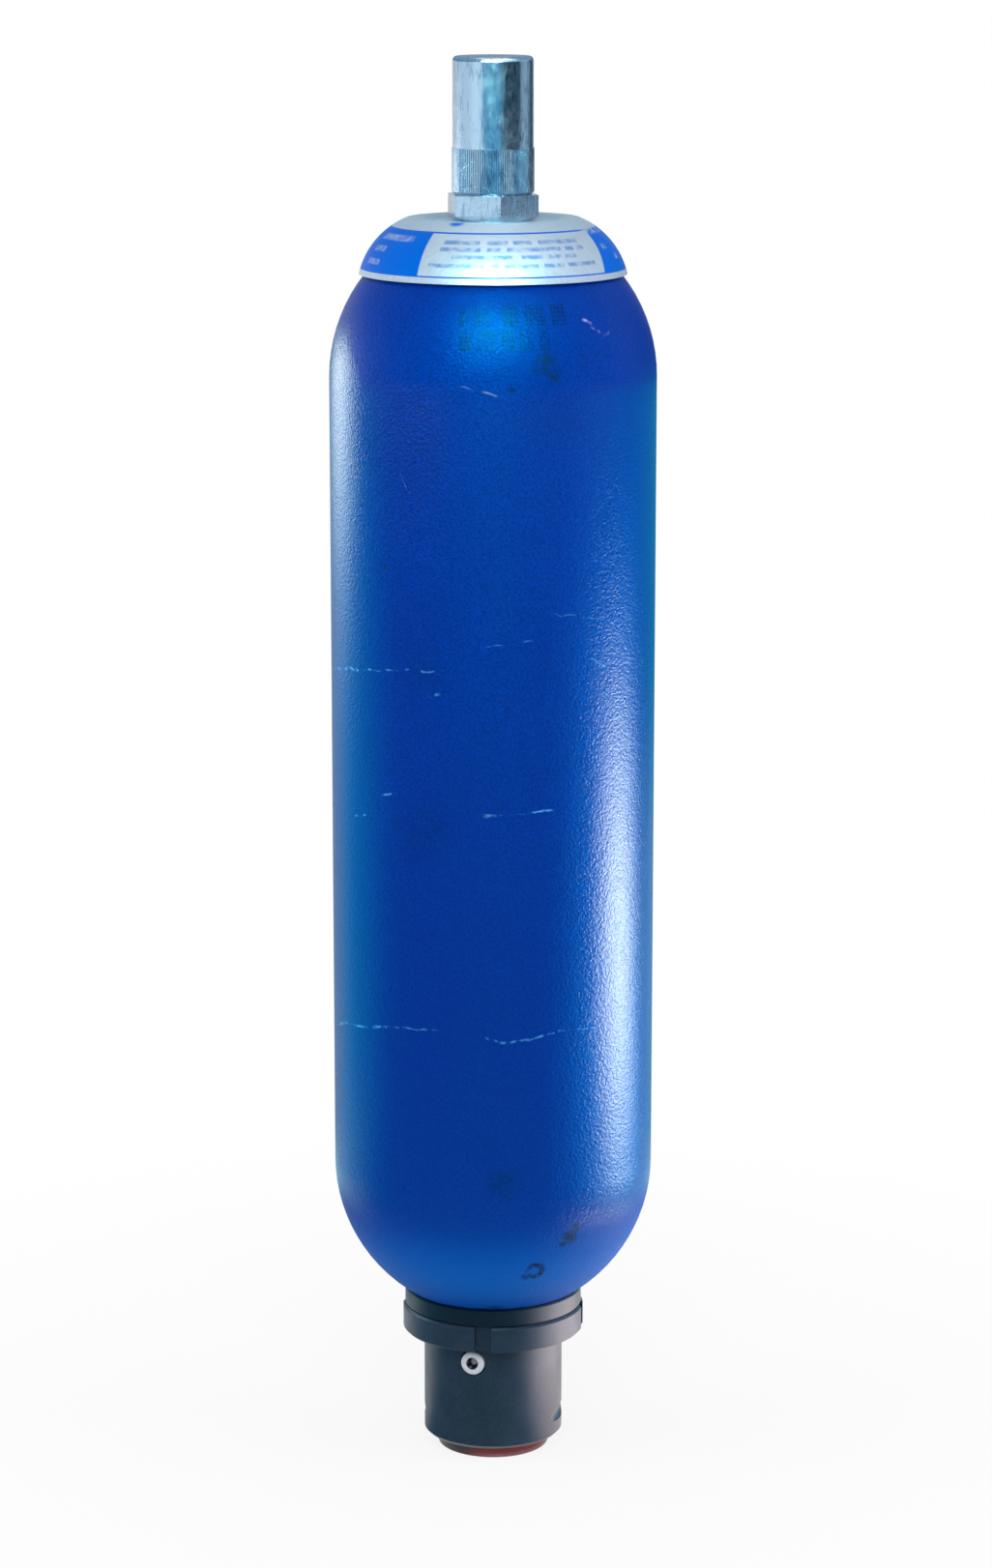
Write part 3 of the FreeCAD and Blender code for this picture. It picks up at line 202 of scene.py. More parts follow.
def bottle_point(degrees, up):
    """Point on the bottle's outside, in metres."""
    past_end = max(up - UPPER_END, LOWER_END - up, 0.0)
    out = math.sqrt(BOTTLE_RADIUS ** 2 - past_end ** 2)
    return (out * math.sin(math.radians(degrees)), -out * math.cos(math.radians(degrees)), up)


rubs = [spot(enamel, place, bottle_point(degrees, up), 0.0, reach / 1000, strength, "SMOOTHSTEP")
        for degrees, up, reach, strength in RUBS]
# one rub is a bent stroke, about 8 mm across, open on its left, with a smear below that
STROKE_MIDDLE, SMEAR_MIDDLE = bottle_point(17.0, 0.0799), bottle_point(14.0, 0.0778)
STROKE_INSIDE, STROKE_OUTSIDE = 0.0019, 0.0040
from_middle = add_node(enamel, "ShaderNodeVectorMath", {
    0: place, 1: STROKE_MIDDLE}, output="Value", operation="DISTANCE")
bend = within(enamel, from_middle, STROKE_INSIDE, STROKE_OUTSIDE, 0.0010)
open_left = add_node(enamel, "ShaderNodeMapRange", {
    "Value": turn, "From Min": 12.0, "From Max": 16.0})
smear = spot(enamel, place, SMEAR_MIDDLE, 0.0008, 0.0024, 0.9)
rubbed = union(enamel, *rubs, overlap(enamel, bend, open_left), smear)
# rubber and grease catch in blotches of about 1.6 mm
blotches = add_node(enamel, "ShaderNodeTexNoise", {
    "Vector": place, "Scale": 620.0, "Detail": 3.0})
blotches = add_node(enamel, "ShaderNodeMapRange", {
    "Value": blotches, "From Min": 0.38, "From Max": 0.54, "To Min": 0.25, "To Max": 1.0})
rubbed = add_node(enamel, "ShaderNodeMath", {
    0: rubbed, 1: blotches}, operation="MULTIPLY", use_clamp=True)
film = add_node(enamel, "ShaderNodeMixRGB", {
    "Fac": rubbed, "Color1": film, "Color2": linear("#0A1C48")})

# scratches round the bottle, where the film is bruised pale: degrees from and to, heights from
# and to, width in mm, strength
SCRATCHES = [
    (-76.0, -47.0, 0.2893, 0.2934, 0.6, 1.0), (-47.0, -18.0, 0.2934, 0.2958, 0.4, 0.6),
    (-22.0, -19.0, 0.2866, 0.2871, 0.8, 0.7), (3.0, 22.0, 0.2462, 0.2476, 0.5, 1.0),
    (-3.0, 0.5, 0.2458, 0.2459, 0.9, 0.6), (-42.5, -36.0, 0.2503, 0.2511, 0.6, 0.8),
    (-57.5, -50.5, 0.2405, 0.2416, 0.6, 0.9), (36.5, 42.0, 0.2990, 0.2950, 0.8, 0.7),
    (-2.0, 13.0, 0.3046, 0.3064, 0.4, 0.4), (-76.0, -40.0, 0.1613, 0.1678, 0.6, 1.0),
    (-40.0, -16.0, 0.1678, 0.1696, 0.45, 0.7), (-9.0, 6.0, 0.1680, 0.1652, 0.5, 0.8),
    (6.0, 24.0, 0.1652, 0.1688, 0.5, 0.7), (24.0, 38.0, 0.1688, 0.1682, 0.4, 0.4),
    (20.0, 40.0, 0.3150, 0.3120, 0.3, 0.35), (-33.0, -30.0, 0.3620, 0.3560, 0.4, 0.5),
    (-11.0, 2.0, 0.3928, 0.3893, 0.4, 0.5), (35.0, 39.0, 0.4140, 0.4126, 0.7, 0.8),
    (43.5, 47.0, 0.4084, 0.4092, 0.6, 0.7), (39.0, 42.0, 0.4112, 0.4100, 0.7, 0.7),
]
# degrees over which a scratch fades at its ends, and how far it strays up or down, in metres
SCRATCH_TAPER, STRAY = 3.0, 0.0016
stray = add_node(enamel, "ShaderNodeTexNoise", {"Vector": place, "Scale": 160.0, "Detail": 4.0})
stray = add_node(enamel, "ShaderNodeMapRange", {
    "Value": stray, "To Min": -STRAY, "To Max": STRAY})
strayed = add_node(enamel, "ShaderNodeMath", {0: height, 1: stray}, operation="ADD")
scratches = []
for start, end, from_height, to_height, width, strength in SCRATCHES:
    line = add_node(enamel, "ShaderNodeMapRange", {
        "Value": turn, "From Min": start, "From Max": end,
        "To Min": from_height, "To Max": to_height})
    off = add_node(enamel, "ShaderNodeMath", {0: strayed, 1: line}, operation="SUBTRACT")
    off = add_node(enamel, "ShaderNodeMath", {0: off}, operation="ABSOLUTE")
    mark = add_node(enamel, "ShaderNodeMapRange", {
        "Value": off, "From Min": 0.0, "From Max": width / 1000,
        "To Min": strength, "To Max": 0.0})
    scratches.append(overlap(enamel, mark, within(enamel, turn, start, end, SCRATCH_TAPER)))
broken = add_node(enamel, "ShaderNodeTexNoise", {"Vector": place, "Scale": 330.0, "Detail": 4.0})
broken = add_node(enamel, "ShaderNodeMapRange", {
    "Value": broken, "From Min": 0.46, "From Max": 0.60})
film = add_node(enamel, "ShaderNodeMixRGB", {
    "Fac": overlap(enamel, union(enamel, *scratches), broken),
    "Color1": film, "Color2": linear("#B8B4EC")})

# orange peel from the spray, 1 mm across, and the steel's shallow hammer marks of 14 mm under it
peel = add_node(enamel, "ShaderNodeTexNoise", {
    "Vector": place, "Scale": 1000.0, "Detail": 2.0, "Roughness": 0.6})
skin = add_node(enamel, "ShaderNodeBump", {
    "Height": peel, "Strength": 1.0, "Distance": 0.00023})
hollows = add_node(enamel, "ShaderNodeTexNoise", {"Vector": place, "Scale": 70.0, "Detail": 2.0})
skin = add_node(enamel, "ShaderNodeBump", {
    "Height": hollows, "Strength": 0.2, "Distance": 0.0004, "Normal": skin})
# the film went on dry and thin over the round ends, so its gloss fades there, on the left last
GLOSS_FOOT, GLOSS_TOP, GLOSS_TOP_LEFT = 0.099, 0.390, 0.407
glossy_below = add_node(enamel, "ShaderNodeMapRange", {
    "Value": turn, "From Min": -66.0, "From Max": -50.0,
    "To Min": GLOSS_TOP_LEFT, "To Max": GLOSS_TOP})
over_it = add_node(enamel, "ShaderNodeMath", {
    0: height, 1: glossy_below}, operation="SUBTRACT")
gloss = overlap(enamel, within(enamel, over_it, -0.5, 0.0, 0.010),
                within(enamel, height, GLOSS_FOOT, 0.5, 0.014))
gloss = add_node(enamel, "ShaderNodeMapRange", {"Value": gloss, "To Max": 0.9})
dryness = add_node(enamel, "ShaderNodeMapRange", {
    "Value": height, "From Min": 0.085, "From Max": 0.110, "To Min": 0.66, "To Max": 0.42})
enamel_shader = add_node(enamel, "ShaderNodeBsdfPrincipled", {
    "Base Color": film, "Roughness": dryness, "Specular IOR Level": 0.45,
    "Specular Tint": linear("#00D8FF"), "Coat Weight": gloss, "Coat Roughness": 0.13,
    "Coat Tint": linear("#60F8FF"), "Normal": skin, "Coat Normal": skin})
put_on(enamel, enamel_shader, "shell")


# Name plate: a disc of thin aluminium, pressed to the bottle's shoulder and clamped under the neck
# nut. Its skirt is screen printed blue, with blank pale bars, round a bare window of blank bars.

PRINT_FOOT, PRINT_TOP = 0.4279, 0.4419
# degrees to the right of the window's sides, at the foot and at the top of the print
WINDOW_LEFT, WINDOW_RIGHT = (-34.0, -34.2), (55.8, 61.0)
# rows of small bars in the window: height, and degrees to the right of each bar's sides
WINDOW_ROWS = [
    (0.4392, [(-25.0, -6.5), (-3.0, 7.5), (10.0, 19.5), (23.0, 47.0)]),
    (0.4370, [(-26.0, -6.0), (-3.0, 3.5), (6.5, 34.0), (36.5, 41.5), (43.5, 48.0)]),
    (0.4346, [(-19.2, 8.8), (13.0, 23.0), (26.0, 33.0), (34.5, 41.2)]),
    (0.4318, [(-29.6, -4.0), (-1.0, 2.5), (5.0, 20.5), (23.0, 33.0), (35.0, 51.4)]),
]
WINDOW_BAR_HALF = 0.00062
# pale bars on the blue print: height, degrees from and to
PALE_BARS = [
    (0.4396, -74.0, -44.0), (0.4358, -73.2, -61.2), (0.4314, -74.0, -61.0),
    (0.4366, 63.5, 68.2), (0.4329, 72.0, 76.0),
]
PALE_BAR_HALF = 0.0009
# the thin rules along the print's foot and top: how far above them, and half their width
RULE_LIFT, RULE_HALF = 0.0001, 0.00025

# Bare aluminium, pressed and lightly brushed: it takes in all that is round it, softly
plate = new_material("printed_pressed_aluminium")
place = add_node(plate, "ShaderNodeTexCoord", {}, output="Object")
height = add_node(plate, "ShaderNodeSeparateXYZ", {"Vector": place}, output="Z")
turn = turn_at(plate, place)
skirt = within(plate, height, PRINT_FOOT, PRINT_TOP, 0.0003)
past_sides = []
for at_foot, at_top in (WINDOW_LEFT, WINDOW_RIGHT):
    side = add_node(plate, "ShaderNodeMapRange", {
        "Value": height, "From Min": PRINT_FOOT, "From Max": PRINT_TOP,
        "To Min": at_foot, "To Max": at_top})
    past_sides.append(add_node(plate, "ShaderNodeMath", {
        0: turn, 1: side}, operation="SUBTRACT"))
window = overlap(plate, skirt, within(plate, past_sides[0], 0.0, 180.0, 0.8),
                 within(plate, past_sides[1], -180.0, 0.0, 0.8))
blue = add_node(plate, "ShaderNodeMath", {0: skirt, 1: window}, operation="SUBTRACT")
rules = [within(plate, height, edge + RULE_LIFT - RULE_HALF, edge + RULE_LIFT + RULE_HALF, 0.0002)
         for edge in (PRINT_TOP, PRINT_FOOT)]
blue = union(plate, blue, *rules)

# scuffs of about 2.4 mm break up the bars
scuffed = add_node(plate, "ShaderNodeTexNoise", {"Vector": place, "Scale": 420.0, "Detail": 4.0})
pale = [overlap(plate, within(plate, height, up - PALE_BAR_HALF, up + PALE_BAR_HALF, 0.0006),
                within(plate, turn, left, right, 1.0)) for up, left, right in PALE_BARS]
patchy = add_node(plate, "ShaderNodeMapRange", {
    "Value": scuffed, "From Min": 0.38, "From Max": 0.6, "To Min": 0.15, "To Max": 0.55})
blue = add_node(plate, "ShaderNodeMath", {
    0: blue, 1: overlap(plate, union(plate, *pale), patchy)},
    operation="SUBTRACT", use_clamp=True)
# the print is rubbed away on the right of the crease, where the neck nut's spanner passes
scraped = add_node(plate, "ShaderNodeMapRange", {
    "Value": scuffed, "From Min": 0.42, "From Max": 0.52, "To Max": 0.7})
rub = overlap(plate, within(plate, turn, 58.0, 84.0, 8.0),
              within(plate, height, 0.4408, 0.4430, 0.0012), scraped)
blue = add_node(plate, "ShaderNodeMath", {
    0: blue, 1: rub}, operation="SUBTRACT", use_clamp=True)
# and a scrap of it is left beside the nut
scrap = spot(plate, place, (-0.0120, -0.0268, 0.4449), 0.0018, 0.0034, 1.0)
blue = union(plate, blue, scrap)

window_bars = []
for up, sides in WINDOW_ROWS:
    row = within(plate, height, up - WINDOW_BAR_HALF, up + WINDOW_BAR_HALF, 0.0006)
    window_bars += [overlap(plate, row, within(plate, turn, left, right, 0.8))
                    for left, right in sides]
faint = add_node(plate, "ShaderNodeMapRange", {
    "Value": scuffed, "From Min": 0.35, "From Max": 0.6, "To Min": 0.2, "To Max": 0.75})
window_bars = overlap(plate, union(plate, *window_bars), faint)

# brushed lines of 0.4 mm, 3 mm long
brushing = add_node(plate, "ShaderNodeMapping", {
    "Vector": place, "Scale": (300.0, 2600.0, 300.0)})
brushing = add_node(plate, "ShaderNodeTexNoise", {
    "Vector": brushing, "Scale": 1.0, "Detail": 3.0})
bare = add_node(plate, "ShaderNodeMixRGB", {
    "Fac": brushing, "Color1": linear("#A5B3C6"), "Color2": linear("#CFD9E7")})
printed = add_node(plate, "ShaderNodeMixRGB", {
    "Fac": window_bars, "Color1": bare, "Color2": linear("#3C78C4")})
printed = add_node(plate, "ShaderNodeMixRGB", {
    "Fac": blue, "Color1": printed, "Color2": linear("#0064D4")})
metal_share = add_node(plate, "ShaderNodeMapRange", {
    "Value": blue, "To Min": 0.36, "To Max": 0.0})
sheen = add_node(plate, "ShaderNodeMixRGB", {
    "Fac": blue, "Color1": (1.0, 1.0, 1.0, 1.0), "Color2": linear("#0090FF")})
grain = add_node(plate, "ShaderNodeBump", {
    "Height": brushing, "Strength": 0.12, "Distance": 0.0001})
plate_shader = add_node(plate, "ShaderNodeBsdfPrincipled", {
    "Base Color": printed, "Metallic": metal_share, "Roughness": 0.42,
    "Specular IOR Level": 0.15, "Specular Tint": sheen, "Normal": grain})
put_on(plate, plate_shader, "name_plate")


# Protection cap and neck nut: both turned from bright steel bar, the cap with a straight-knurled
# grip, and screwed by hand and by spanner onto the stem. They are zinc plated and passivated blue.

# Zinc plate, blue passivated: a bright, slightly blue metal that mirrors the room in soft stripes,
# with the drawn bar's fine lines along it and dull patches where it was handled
zinc = new_material("blue_passivated_zinc")
place = add_node(zinc, "ShaderNodeTexCoord", {}, output="Object")
# drawn lines of 0.7 mm, 22 mm long, patches of 4 mm, and stains of 2 mm, 8 mm long
drawn = add_node(zinc, "ShaderNodeMapping", {"Vector": place, "Scale": (1500.0, 1500.0, 45.0)})
drawn = add_node(zinc, "ShaderNodeTexNoise", {"Vector": drawn, "Scale": 1.0, "Detail": 4.0})
clouds = add_node(zinc, "ShaderNodeTexNoise", {
    "Vector": place, "Scale": 260.0, "Detail": 5.0, "Roughness": 0.7})
streaks = add_node(zinc, "ShaderNodeMapping", {"Vector": place, "Scale": (520.0, 520.0, 130.0)})
streaks = add_node(zinc, "ShaderNodeTexNoise", {
    "Vector": streaks, "Scale": 1.0, "Detail": 4.0, "Roughness": 0.65})
plating = add_node(zinc, "ShaderNodeMixRGB", {
    "Fac": clouds, "Color1": linear("#B2C6D8"), "Color2": linear("#D8E2EB")})
stained = add_node(zinc, "ShaderNodeMapRange", {
    "Value": streaks, "From Min": 0.54, "From Max": 0.66, "To Min": 0.0, "To Max": 0.45})
plating = add_node(zinc, "ShaderNodeMixRGB", {
    "Fac": stained, "Color1": plating, "Color2": linear("#6E88A0")})
handled = add_node(zinc, "ShaderNodeMapRange", {
    "Value": clouds, "From Min": 0.35, "From Max": 0.7, "To Min": 0.11, "To Max": 0.25})
lines = add_node(zinc, "ShaderNodeBump", {
    "Height": drawn, "Strength": 0.22, "Distance": 0.00008})
dents = add_node(zinc, "ShaderNodeBump", {
    "Height": streaks, "Strength": 0.6, "Distance": 0.0003, "Normal": lines})
zinc_shader = add_node(zinc, "ShaderNodeBsdfPrincipled", {
    "Base Color": plating, "Metallic": 1.0, "Roughness": handled, "Normal": dents})
put_on(zinc, zinc_shader, "protection_cap", "stem_lock_nut")


# Port body, slotted lock nut and spacer: turned steel at the bottle's mouth. The nut pulls the port
# body down against the ring inside, through the spacer, and is tightened with a hook spanner.

SPACER_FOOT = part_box("slotted_lock_nut")[1][2]
SPACER_REACH = 0.02

# Black oxide on turned steel, oiled: nearly black with a cold cast, satin, and grey where it
# catches the light, with fine grain from the blackening bath
blackened = new_material("black_oxide_steel")
place = add_node(blackened, "ShaderNodeTexCoord", {}, output="Object")
height = add_node(blackened, "ShaderNodeSeparateXYZ", {"Vector": place}, output="Z")
# tool rings of 0.45 mm, a grain of 0.8 mm and oil stains of 9 mm
turning = add_node(blackened, "ShaderNodeMapping", {
    "Vector": place, "Scale": (90.0, 90.0, 2200.0)})
turning = add_node(blackened, "ShaderNodeTexNoise", {
    "Vector": turning, "Scale": 1.0, "Detail": 3.0})
pits = add_node(blackened, "ShaderNodeTexNoise", {
    "Vector": place, "Scale": 1300.0, "Detail": 3.0, "Roughness": 0.7})
stains = add_node(blackened, "ShaderNodeTexNoise", {
    "Vector": place, "Scale": 110.0, "Detail": 4.0})
oxide = add_node(blackened, "ShaderNodeMixRGB", {
    "Fac": stains, "Color1": linear("#0E1826"), "Color2": linear("#1F2E40")})
sparkle = add_node(blackened, "ShaderNodeMapRange", {
    "Value": pits, "From Min": 0.5, "From Max": 0.75, "To Min": 0.0, "To Max": 0.5})
oxide = add_node(blackened, "ShaderNodeMixRGB", {
    "Fac": sparkle, "Color1": oxide, "Color2": linear("#3E4C5C")})
# painted shade: the spacer sits up under the bottle, so it is darkened nearly to black
painted_shade_under_bottle = within(blackened, height, SPACER_FOOT, SPACER_FOOT + SPACER_REACH, 0.001)
painted_shade_under_bottle = add_node(blackened, "ShaderNodeMapRange", {"Value": painted_shade_under_bottle, "To Max": 0.85})
oxide = add_node(blackened, "ShaderNodeMixRGB", {
    "Fac": painted_shade_under_bottle, "Color1": oxide, "Color2": linear("#03070C")})
dullness = add_node(blackened, "ShaderNodeMapRange", {
    "Value": stains, "From Min": 0.3, "From Max": 0.7, "To Min": 0.38, "To Max": 0.50})
rings = add_node(blackened, "ShaderNodeBump", {
    "Height": turning, "Strength": 0.15, "Distance": 0.0001})
rings = add_node(blackened, "ShaderNodeBump", {
    "Height": pits, "Strength": 0.3, "Distance": 0.0001, "Normal": rings})
blackened_shader = add_node(blackened, "ShaderNodeBsdfPrincipled", {
    "Base Color": oxide, "Metallic": 0.0, "Roughness": dullness, "Specular IOR Level": 1.0,
    "Normal": rings})
put_on(blackened, blackened_shader, "port_body", "slotted_lock_nut", "spacer_ring")


# Bleed screw: an M5 socket-head screw in the port's side. It is loosened with a hexagon key to let
# air out of the oil side. Its socket is painted dark as shade.

BLEED_TURN, BLEED_HEIGHT = math.radians(-17.0), 0.0375
BLEED_AXIS = (math.sin(BLEED_TURN), -math.cos(BLEED_TURN), 0.0)
# radii of the socket's middle and of its edge, between which the painted shade is darkest
SOCKET_MIDDLE, SOCKET_EDGE = 0.0011, 0.0022

# Zinc plate on a rolled screw: pale and dull grey-white, with painted shade in its socket
screw_zinc = new_material("dull_zinc_screw_plating")
place = add_node(screw_zinc, "ShaderNodeTexCoord", {}, output="Object")
from_axis = add_node(screw_zinc, "ShaderNodeVectorMath", {
    0: place, 1: (0.0, 0.0, BLEED_HEIGHT)}, operation="SUBTRACT")
from_axis = add_node(screw_zinc, "ShaderNodeVectorMath", {
    0: from_axis, 1: BLEED_AXIS}, operation="CROSS_PRODUCT")
from_axis = add_node(screw_zinc, "ShaderNodeVectorMath", {
    0: from_axis}, output="Value", operation="LENGTH")
# painted shade in the hexagon socket: darkest in a ring, half as dark in its middle
painted_socket_shade = within(screw_zinc, from_axis, SOCKET_MIDDLE, SOCKET_EDGE, 0.0004)
painted_socket_middle_shade = add_node(screw_zinc, "ShaderNodeMapRange", {
    "Value": from_axis, "From Min": 0.0010, "From Max": 0.0013, "To Min": 0.5, "To Max": 0.0})
# crystals of the plating, drawn 0.8 mm across so that they show
grains = add_node(screw_zinc, "ShaderNodeTexNoise", {
    "Vector": place, "Scale": 1200.0, "Detail": 3.0})
screw_tone = add_node(screw_zinc, "ShaderNodeMixRGB", {
    "Fac": grains, "Color1": linear("#B9BFC9"), "Color2": linear("#F0F1F5")})
screw_tone = add_node(screw_zinc, "ShaderNodeMixRGB", {
    "Fac": painted_socket_middle_shade, "Color1": screw_tone, "Color2": linear("#5A6472")})
screw_tone = add_node(screw_zinc, "ShaderNodeMixRGB", {
    "Fac": painted_socket_shade, "Color1": screw_tone, "Color2": linear("#1A2128")})
screw_shader = add_node(screw_zinc, "ShaderNodeBsdfPrincipled", {
    "Base Color": screw_tone, "Metallic": 0.15, "Roughness": 0.4})
put_on(screw_zinc, screw_shader, "bleed_screw")


# Shipping plug: moulded in red low-density polyethylene and pressed into the port's thread. The
# accumulator stands on it, so its rim is dusty; its pale foot is also a painted reflection of the
# floor, and its left side is painted near black as shade.

# Polyethylene, moulded glossy: a deep red with a waxy shine, under grey dust from the floor, which
# at the foot is partly a painted reflection of the white floor
polyethylene = new_material("dusty_red_polyethylene")
place = add_node(polyethylene, "ShaderNodeTexCoord", {}, output="Object")
height = add_node(polyethylene, "ShaderNodeSeparateXYZ", {"Vector": place}, output="Z")
turn = turn_at(polyethylene, place)
# dust in grains and clots of up to 2.6 mm, thickest at the foot, where it is partly a painted
# reflection of the floor, and none on the painted shade at the left
dust_grain = add_node(polyethylene, "ShaderNodeTexNoise", {
    "Vector": place, "Scale": 380.0, "Detail": 5.0})
at_foot = add_node(polyethylene, "ShaderNodeMapRange", {
    "Value": height, "From Min": 0.0006, "From Max": 0.0020, "To Min": 0.8, "To Max": 0.0})
uneven = add_node(polyethylene, "ShaderNodeMapRange", {
    "Value": dust_grain, "From Min": 0.3, "From Max": 0.65, "To Min": 0.6, "To Max": 1.0})
# painted shade: the plug's left side is darkened to near black
painted_shade_left = within(polyethylene, turn, -104.0, -22.0, 28.0)
clear_of_painted_shade = add_node(polyethylene, "ShaderNodeMapRange", {
    "Value": within(polyethylene, turn, -111.0, -15.0, 30.0), "To Min": 1.0, "To Max": 0.05})
dust_and_painted_reflection = overlap(polyethylene, at_foot, uneven, clear_of_painted_shade)
red = add_node(polyethylene, "ShaderNodeMixRGB", {
    "Fac": dust_grain, "Color1": linear("#68000A"), "Color2": linear("#8C0410")})
red = add_node(polyethylene, "ShaderNodeMixRGB", {
    "Fac": painted_shade_left, "Color1": red, "Color2": linear("#180E14")})
red = add_node(polyethylene, "ShaderNodeMixRGB", {
    "Fac": dust_and_painted_reflection, "Color1": red, "Color2": linear("#8A7C82")})
shine = add_node(polyethylene, "ShaderNodeMapRange", {
    "Value": dust_and_painted_reflection, "To Min": 0.25, "To Max": 0.75})
grit = add_node(polyethylene, "ShaderNodeBump", {
    "Height": dust_grain, "Strength": 0.2, "Distance": 0.0002})
polyethylene_shader = add_node(polyethylene, "ShaderNodeBsdfPrincipled", {
    "Base Color": red, "Roughness": shine, "IOR": 1.51, "Normal": grit})
put_on(polyethylene, polyethylene_shader, "port_plug")


# Poppet and its nut, bladder stem, gas valve body and support washer: turned from bar inside the
# bottle, with no plating, because the oil and the dry gas keep them from rust.

# Bare turned steel: a grey mirror, blurred by the tool's rings 0.3 mm apart
turned_steel = new_material("bare_turned_steel")
place = add_node(turned_steel, "ShaderNodeTexCoord", {}, output="Object")
tool_rings = add_node(turned_steel, "ShaderNodeTexWave", {
    "Vector": place, "Scale": 1050.0, "Distortion": 1.5, "Detail": 2.0},
    wave_type="BANDS", bands_direction="Z")
steel_tone = add_node(turned_steel, "ShaderNodeMixRGB", {
    "Fac": tool_rings, "Color1": linear("#B4B6B8"), "Color2": linear("#C9CBCC")})
steel_rings = add_node(turned_steel, "ShaderNodeBump", {
    "Height": tool_rings, "Strength": 0.15, "Distance": 0.00005})
turned_steel_shader = add_node(turned_steel, "ShaderNodeBsdfPrincipled", {
    "Base Color": steel_tone, "Metallic": 1.0, "Roughness": 0.28, "Normal": steel_rings})
put_on(turned_steel, turned_steel_shader,
       "poppet", "poppet_stop_nut", "bladder_stem", "gas_valve_body", "support_washer")


# Springs of the poppet and the gas valve: coiled cold from hard-drawn steel wire, their ends
# closed against their seats. Each is squeezed towards its seat as its valve moves.

# Drawn wire, oiled: mid grey with a dull sheen, and marks of the die about 0.7 mm apart
wire = new_material("hard_drawn_spring_wire")
place = add_node(wire, "ShaderNodeTexCoord", {}, output="Object")
die_marks = add_node(wire, "ShaderNodeTexNoise", {
    "Vector": place, "Scale": 1500.0, "Detail": 3.0})
wire_tone = add_node(wire, "ShaderNodeMixRGB", {
    "Fac": die_marks, "Color1": linear("#77797B"), "Color2": linear("#9A9C9E")})
wire_shader = add_node(wire, "ShaderNodeBsdfPrincipled", {
    "Base Color": wire_tone, "Metallic": 1.0, "Roughness": 0.38})
put_on(wire, wire_shader, "poppet_spring", "gas_valve_spring")


def squeeze_spring(node):
    """Coils in place of a spring's solid: a copy of its mesh on the accumulator's body."""
    coils = bpy.data.objects.new(node + "_coils", pieces[node].data.copy())
    bpy.context.collection.objects.link(coils)
    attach(coils, "accumulator")
    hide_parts(node)
    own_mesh(coils)


squeeze_spring("poppet_spring")
squeeze_spring("gas_valve_spring")


# Brass pieces: the poppet's damping bush, and the gas valve's core, pin and sealing cap, all
# turned from free-cutting bar.

# Brass, turned: a yellow metal with a soft shine and brown spots of 3 mm where it has tarnished
brass = new_material("turned_brass")
place = add_node(brass, "ShaderNodeTexCoord", {}, output="Object")
tarnish = add_node(brass, "ShaderNodeTexNoise", {"Vector": place, "Scale": 350.0, "Detail": 4.0})
brass_tone = add_node(brass, "ShaderNodeMixRGB", {
    "Fac": tarnish, "Color1": linear("#A8873F"), "Color2": linear("#DDBE77")})
brass_shader = add_node(brass, "ShaderNodeBsdfPrincipled", {
    "Base Color": brass_tone, "Metallic": 1.0, "Roughness": 0.3})
put_on(brass, brass_shader, "damping_bush", "gas_valve_core", "gas_valve_pin", "gas_valve_cap")


# Bladder and rubber seals: the gas bag, dipped and cured in one piece on its stem, the O-rings
# moulded, and the anti-extrusion ring moulded round a steel core.

# Nitrile rubber, moulded: black and dull, with a faint bloom in clouds of 11 mm and the mould's
# fine texture
nitrile = new_material("moulded_nitrile_rubber")
place = add_node(nitrile, "ShaderNodeTexCoord", {}, output="Object")
bloom = add_node(nitrile, "ShaderNodeTexNoise", {"Vector": place, "Scale": 90.0, "Detail": 5.0})
rubber_tone = add_node(nitrile, "ShaderNodeMixRGB", {
    "Fac": bloom, "Color1": linear("#161616"), "Color2": linear("#2A2A29")})
mould_skin = add_node(nitrile, "ShaderNodeTexNoise", {
    "Vector": place, "Scale": 1600.0, "Detail": 2.0})
mould_skin = add_node(nitrile, "ShaderNodeBump", {
    "Height": mould_skin, "Strength": 0.2, "Distance": 0.0001})
nitrile_shader = add_node(nitrile, "ShaderNodeBsdfPrincipled", {
    "Base Color": rubber_tone, "Roughness": 0.62, "IOR": 1.52, "Normal": mould_skin})
put_on(nitrile, nitrile_shader, "bladder", "anti_extrusion_ring", "port_o_ring",
       "gas_valve_o_ring")


# Backup ring: an unbroken ring cut from PTFE tube, that keeps the O-ring from being squeezed out
# under pressure.

# PTFE, machined: off-white and waxy, with faint tool marks of 1.4 mm
ptfe = new_material("machined_ptfe")
place = add_node(ptfe, "ShaderNodeTexCoord", {}, output="Object")
cut_marks = add_node(ptfe, "ShaderNodeTexNoise", {"Vector": place, "Scale": 700.0, "Detail": 2.0})
ptfe_tone = add_node(ptfe, "ShaderNodeMixRGB", {
    "Fac": cut_marks, "Color1": linear("#DAD6C9"), "Color2": linear("#EBE8DE")})
ptfe_shader = add_node(ptfe, "ShaderNodeBsdfPrincipled", {
    "Base Color": ptfe_tone, "Roughness": 0.45, "IOR": 1.36})
put_on(ptfe, ptfe_shader, "backup_ring")


# Bleed screw's seal: a ring punched from pressed fibre. The screw's head squeezes it against the
# port's side, so that no oil seeps out along the thread.

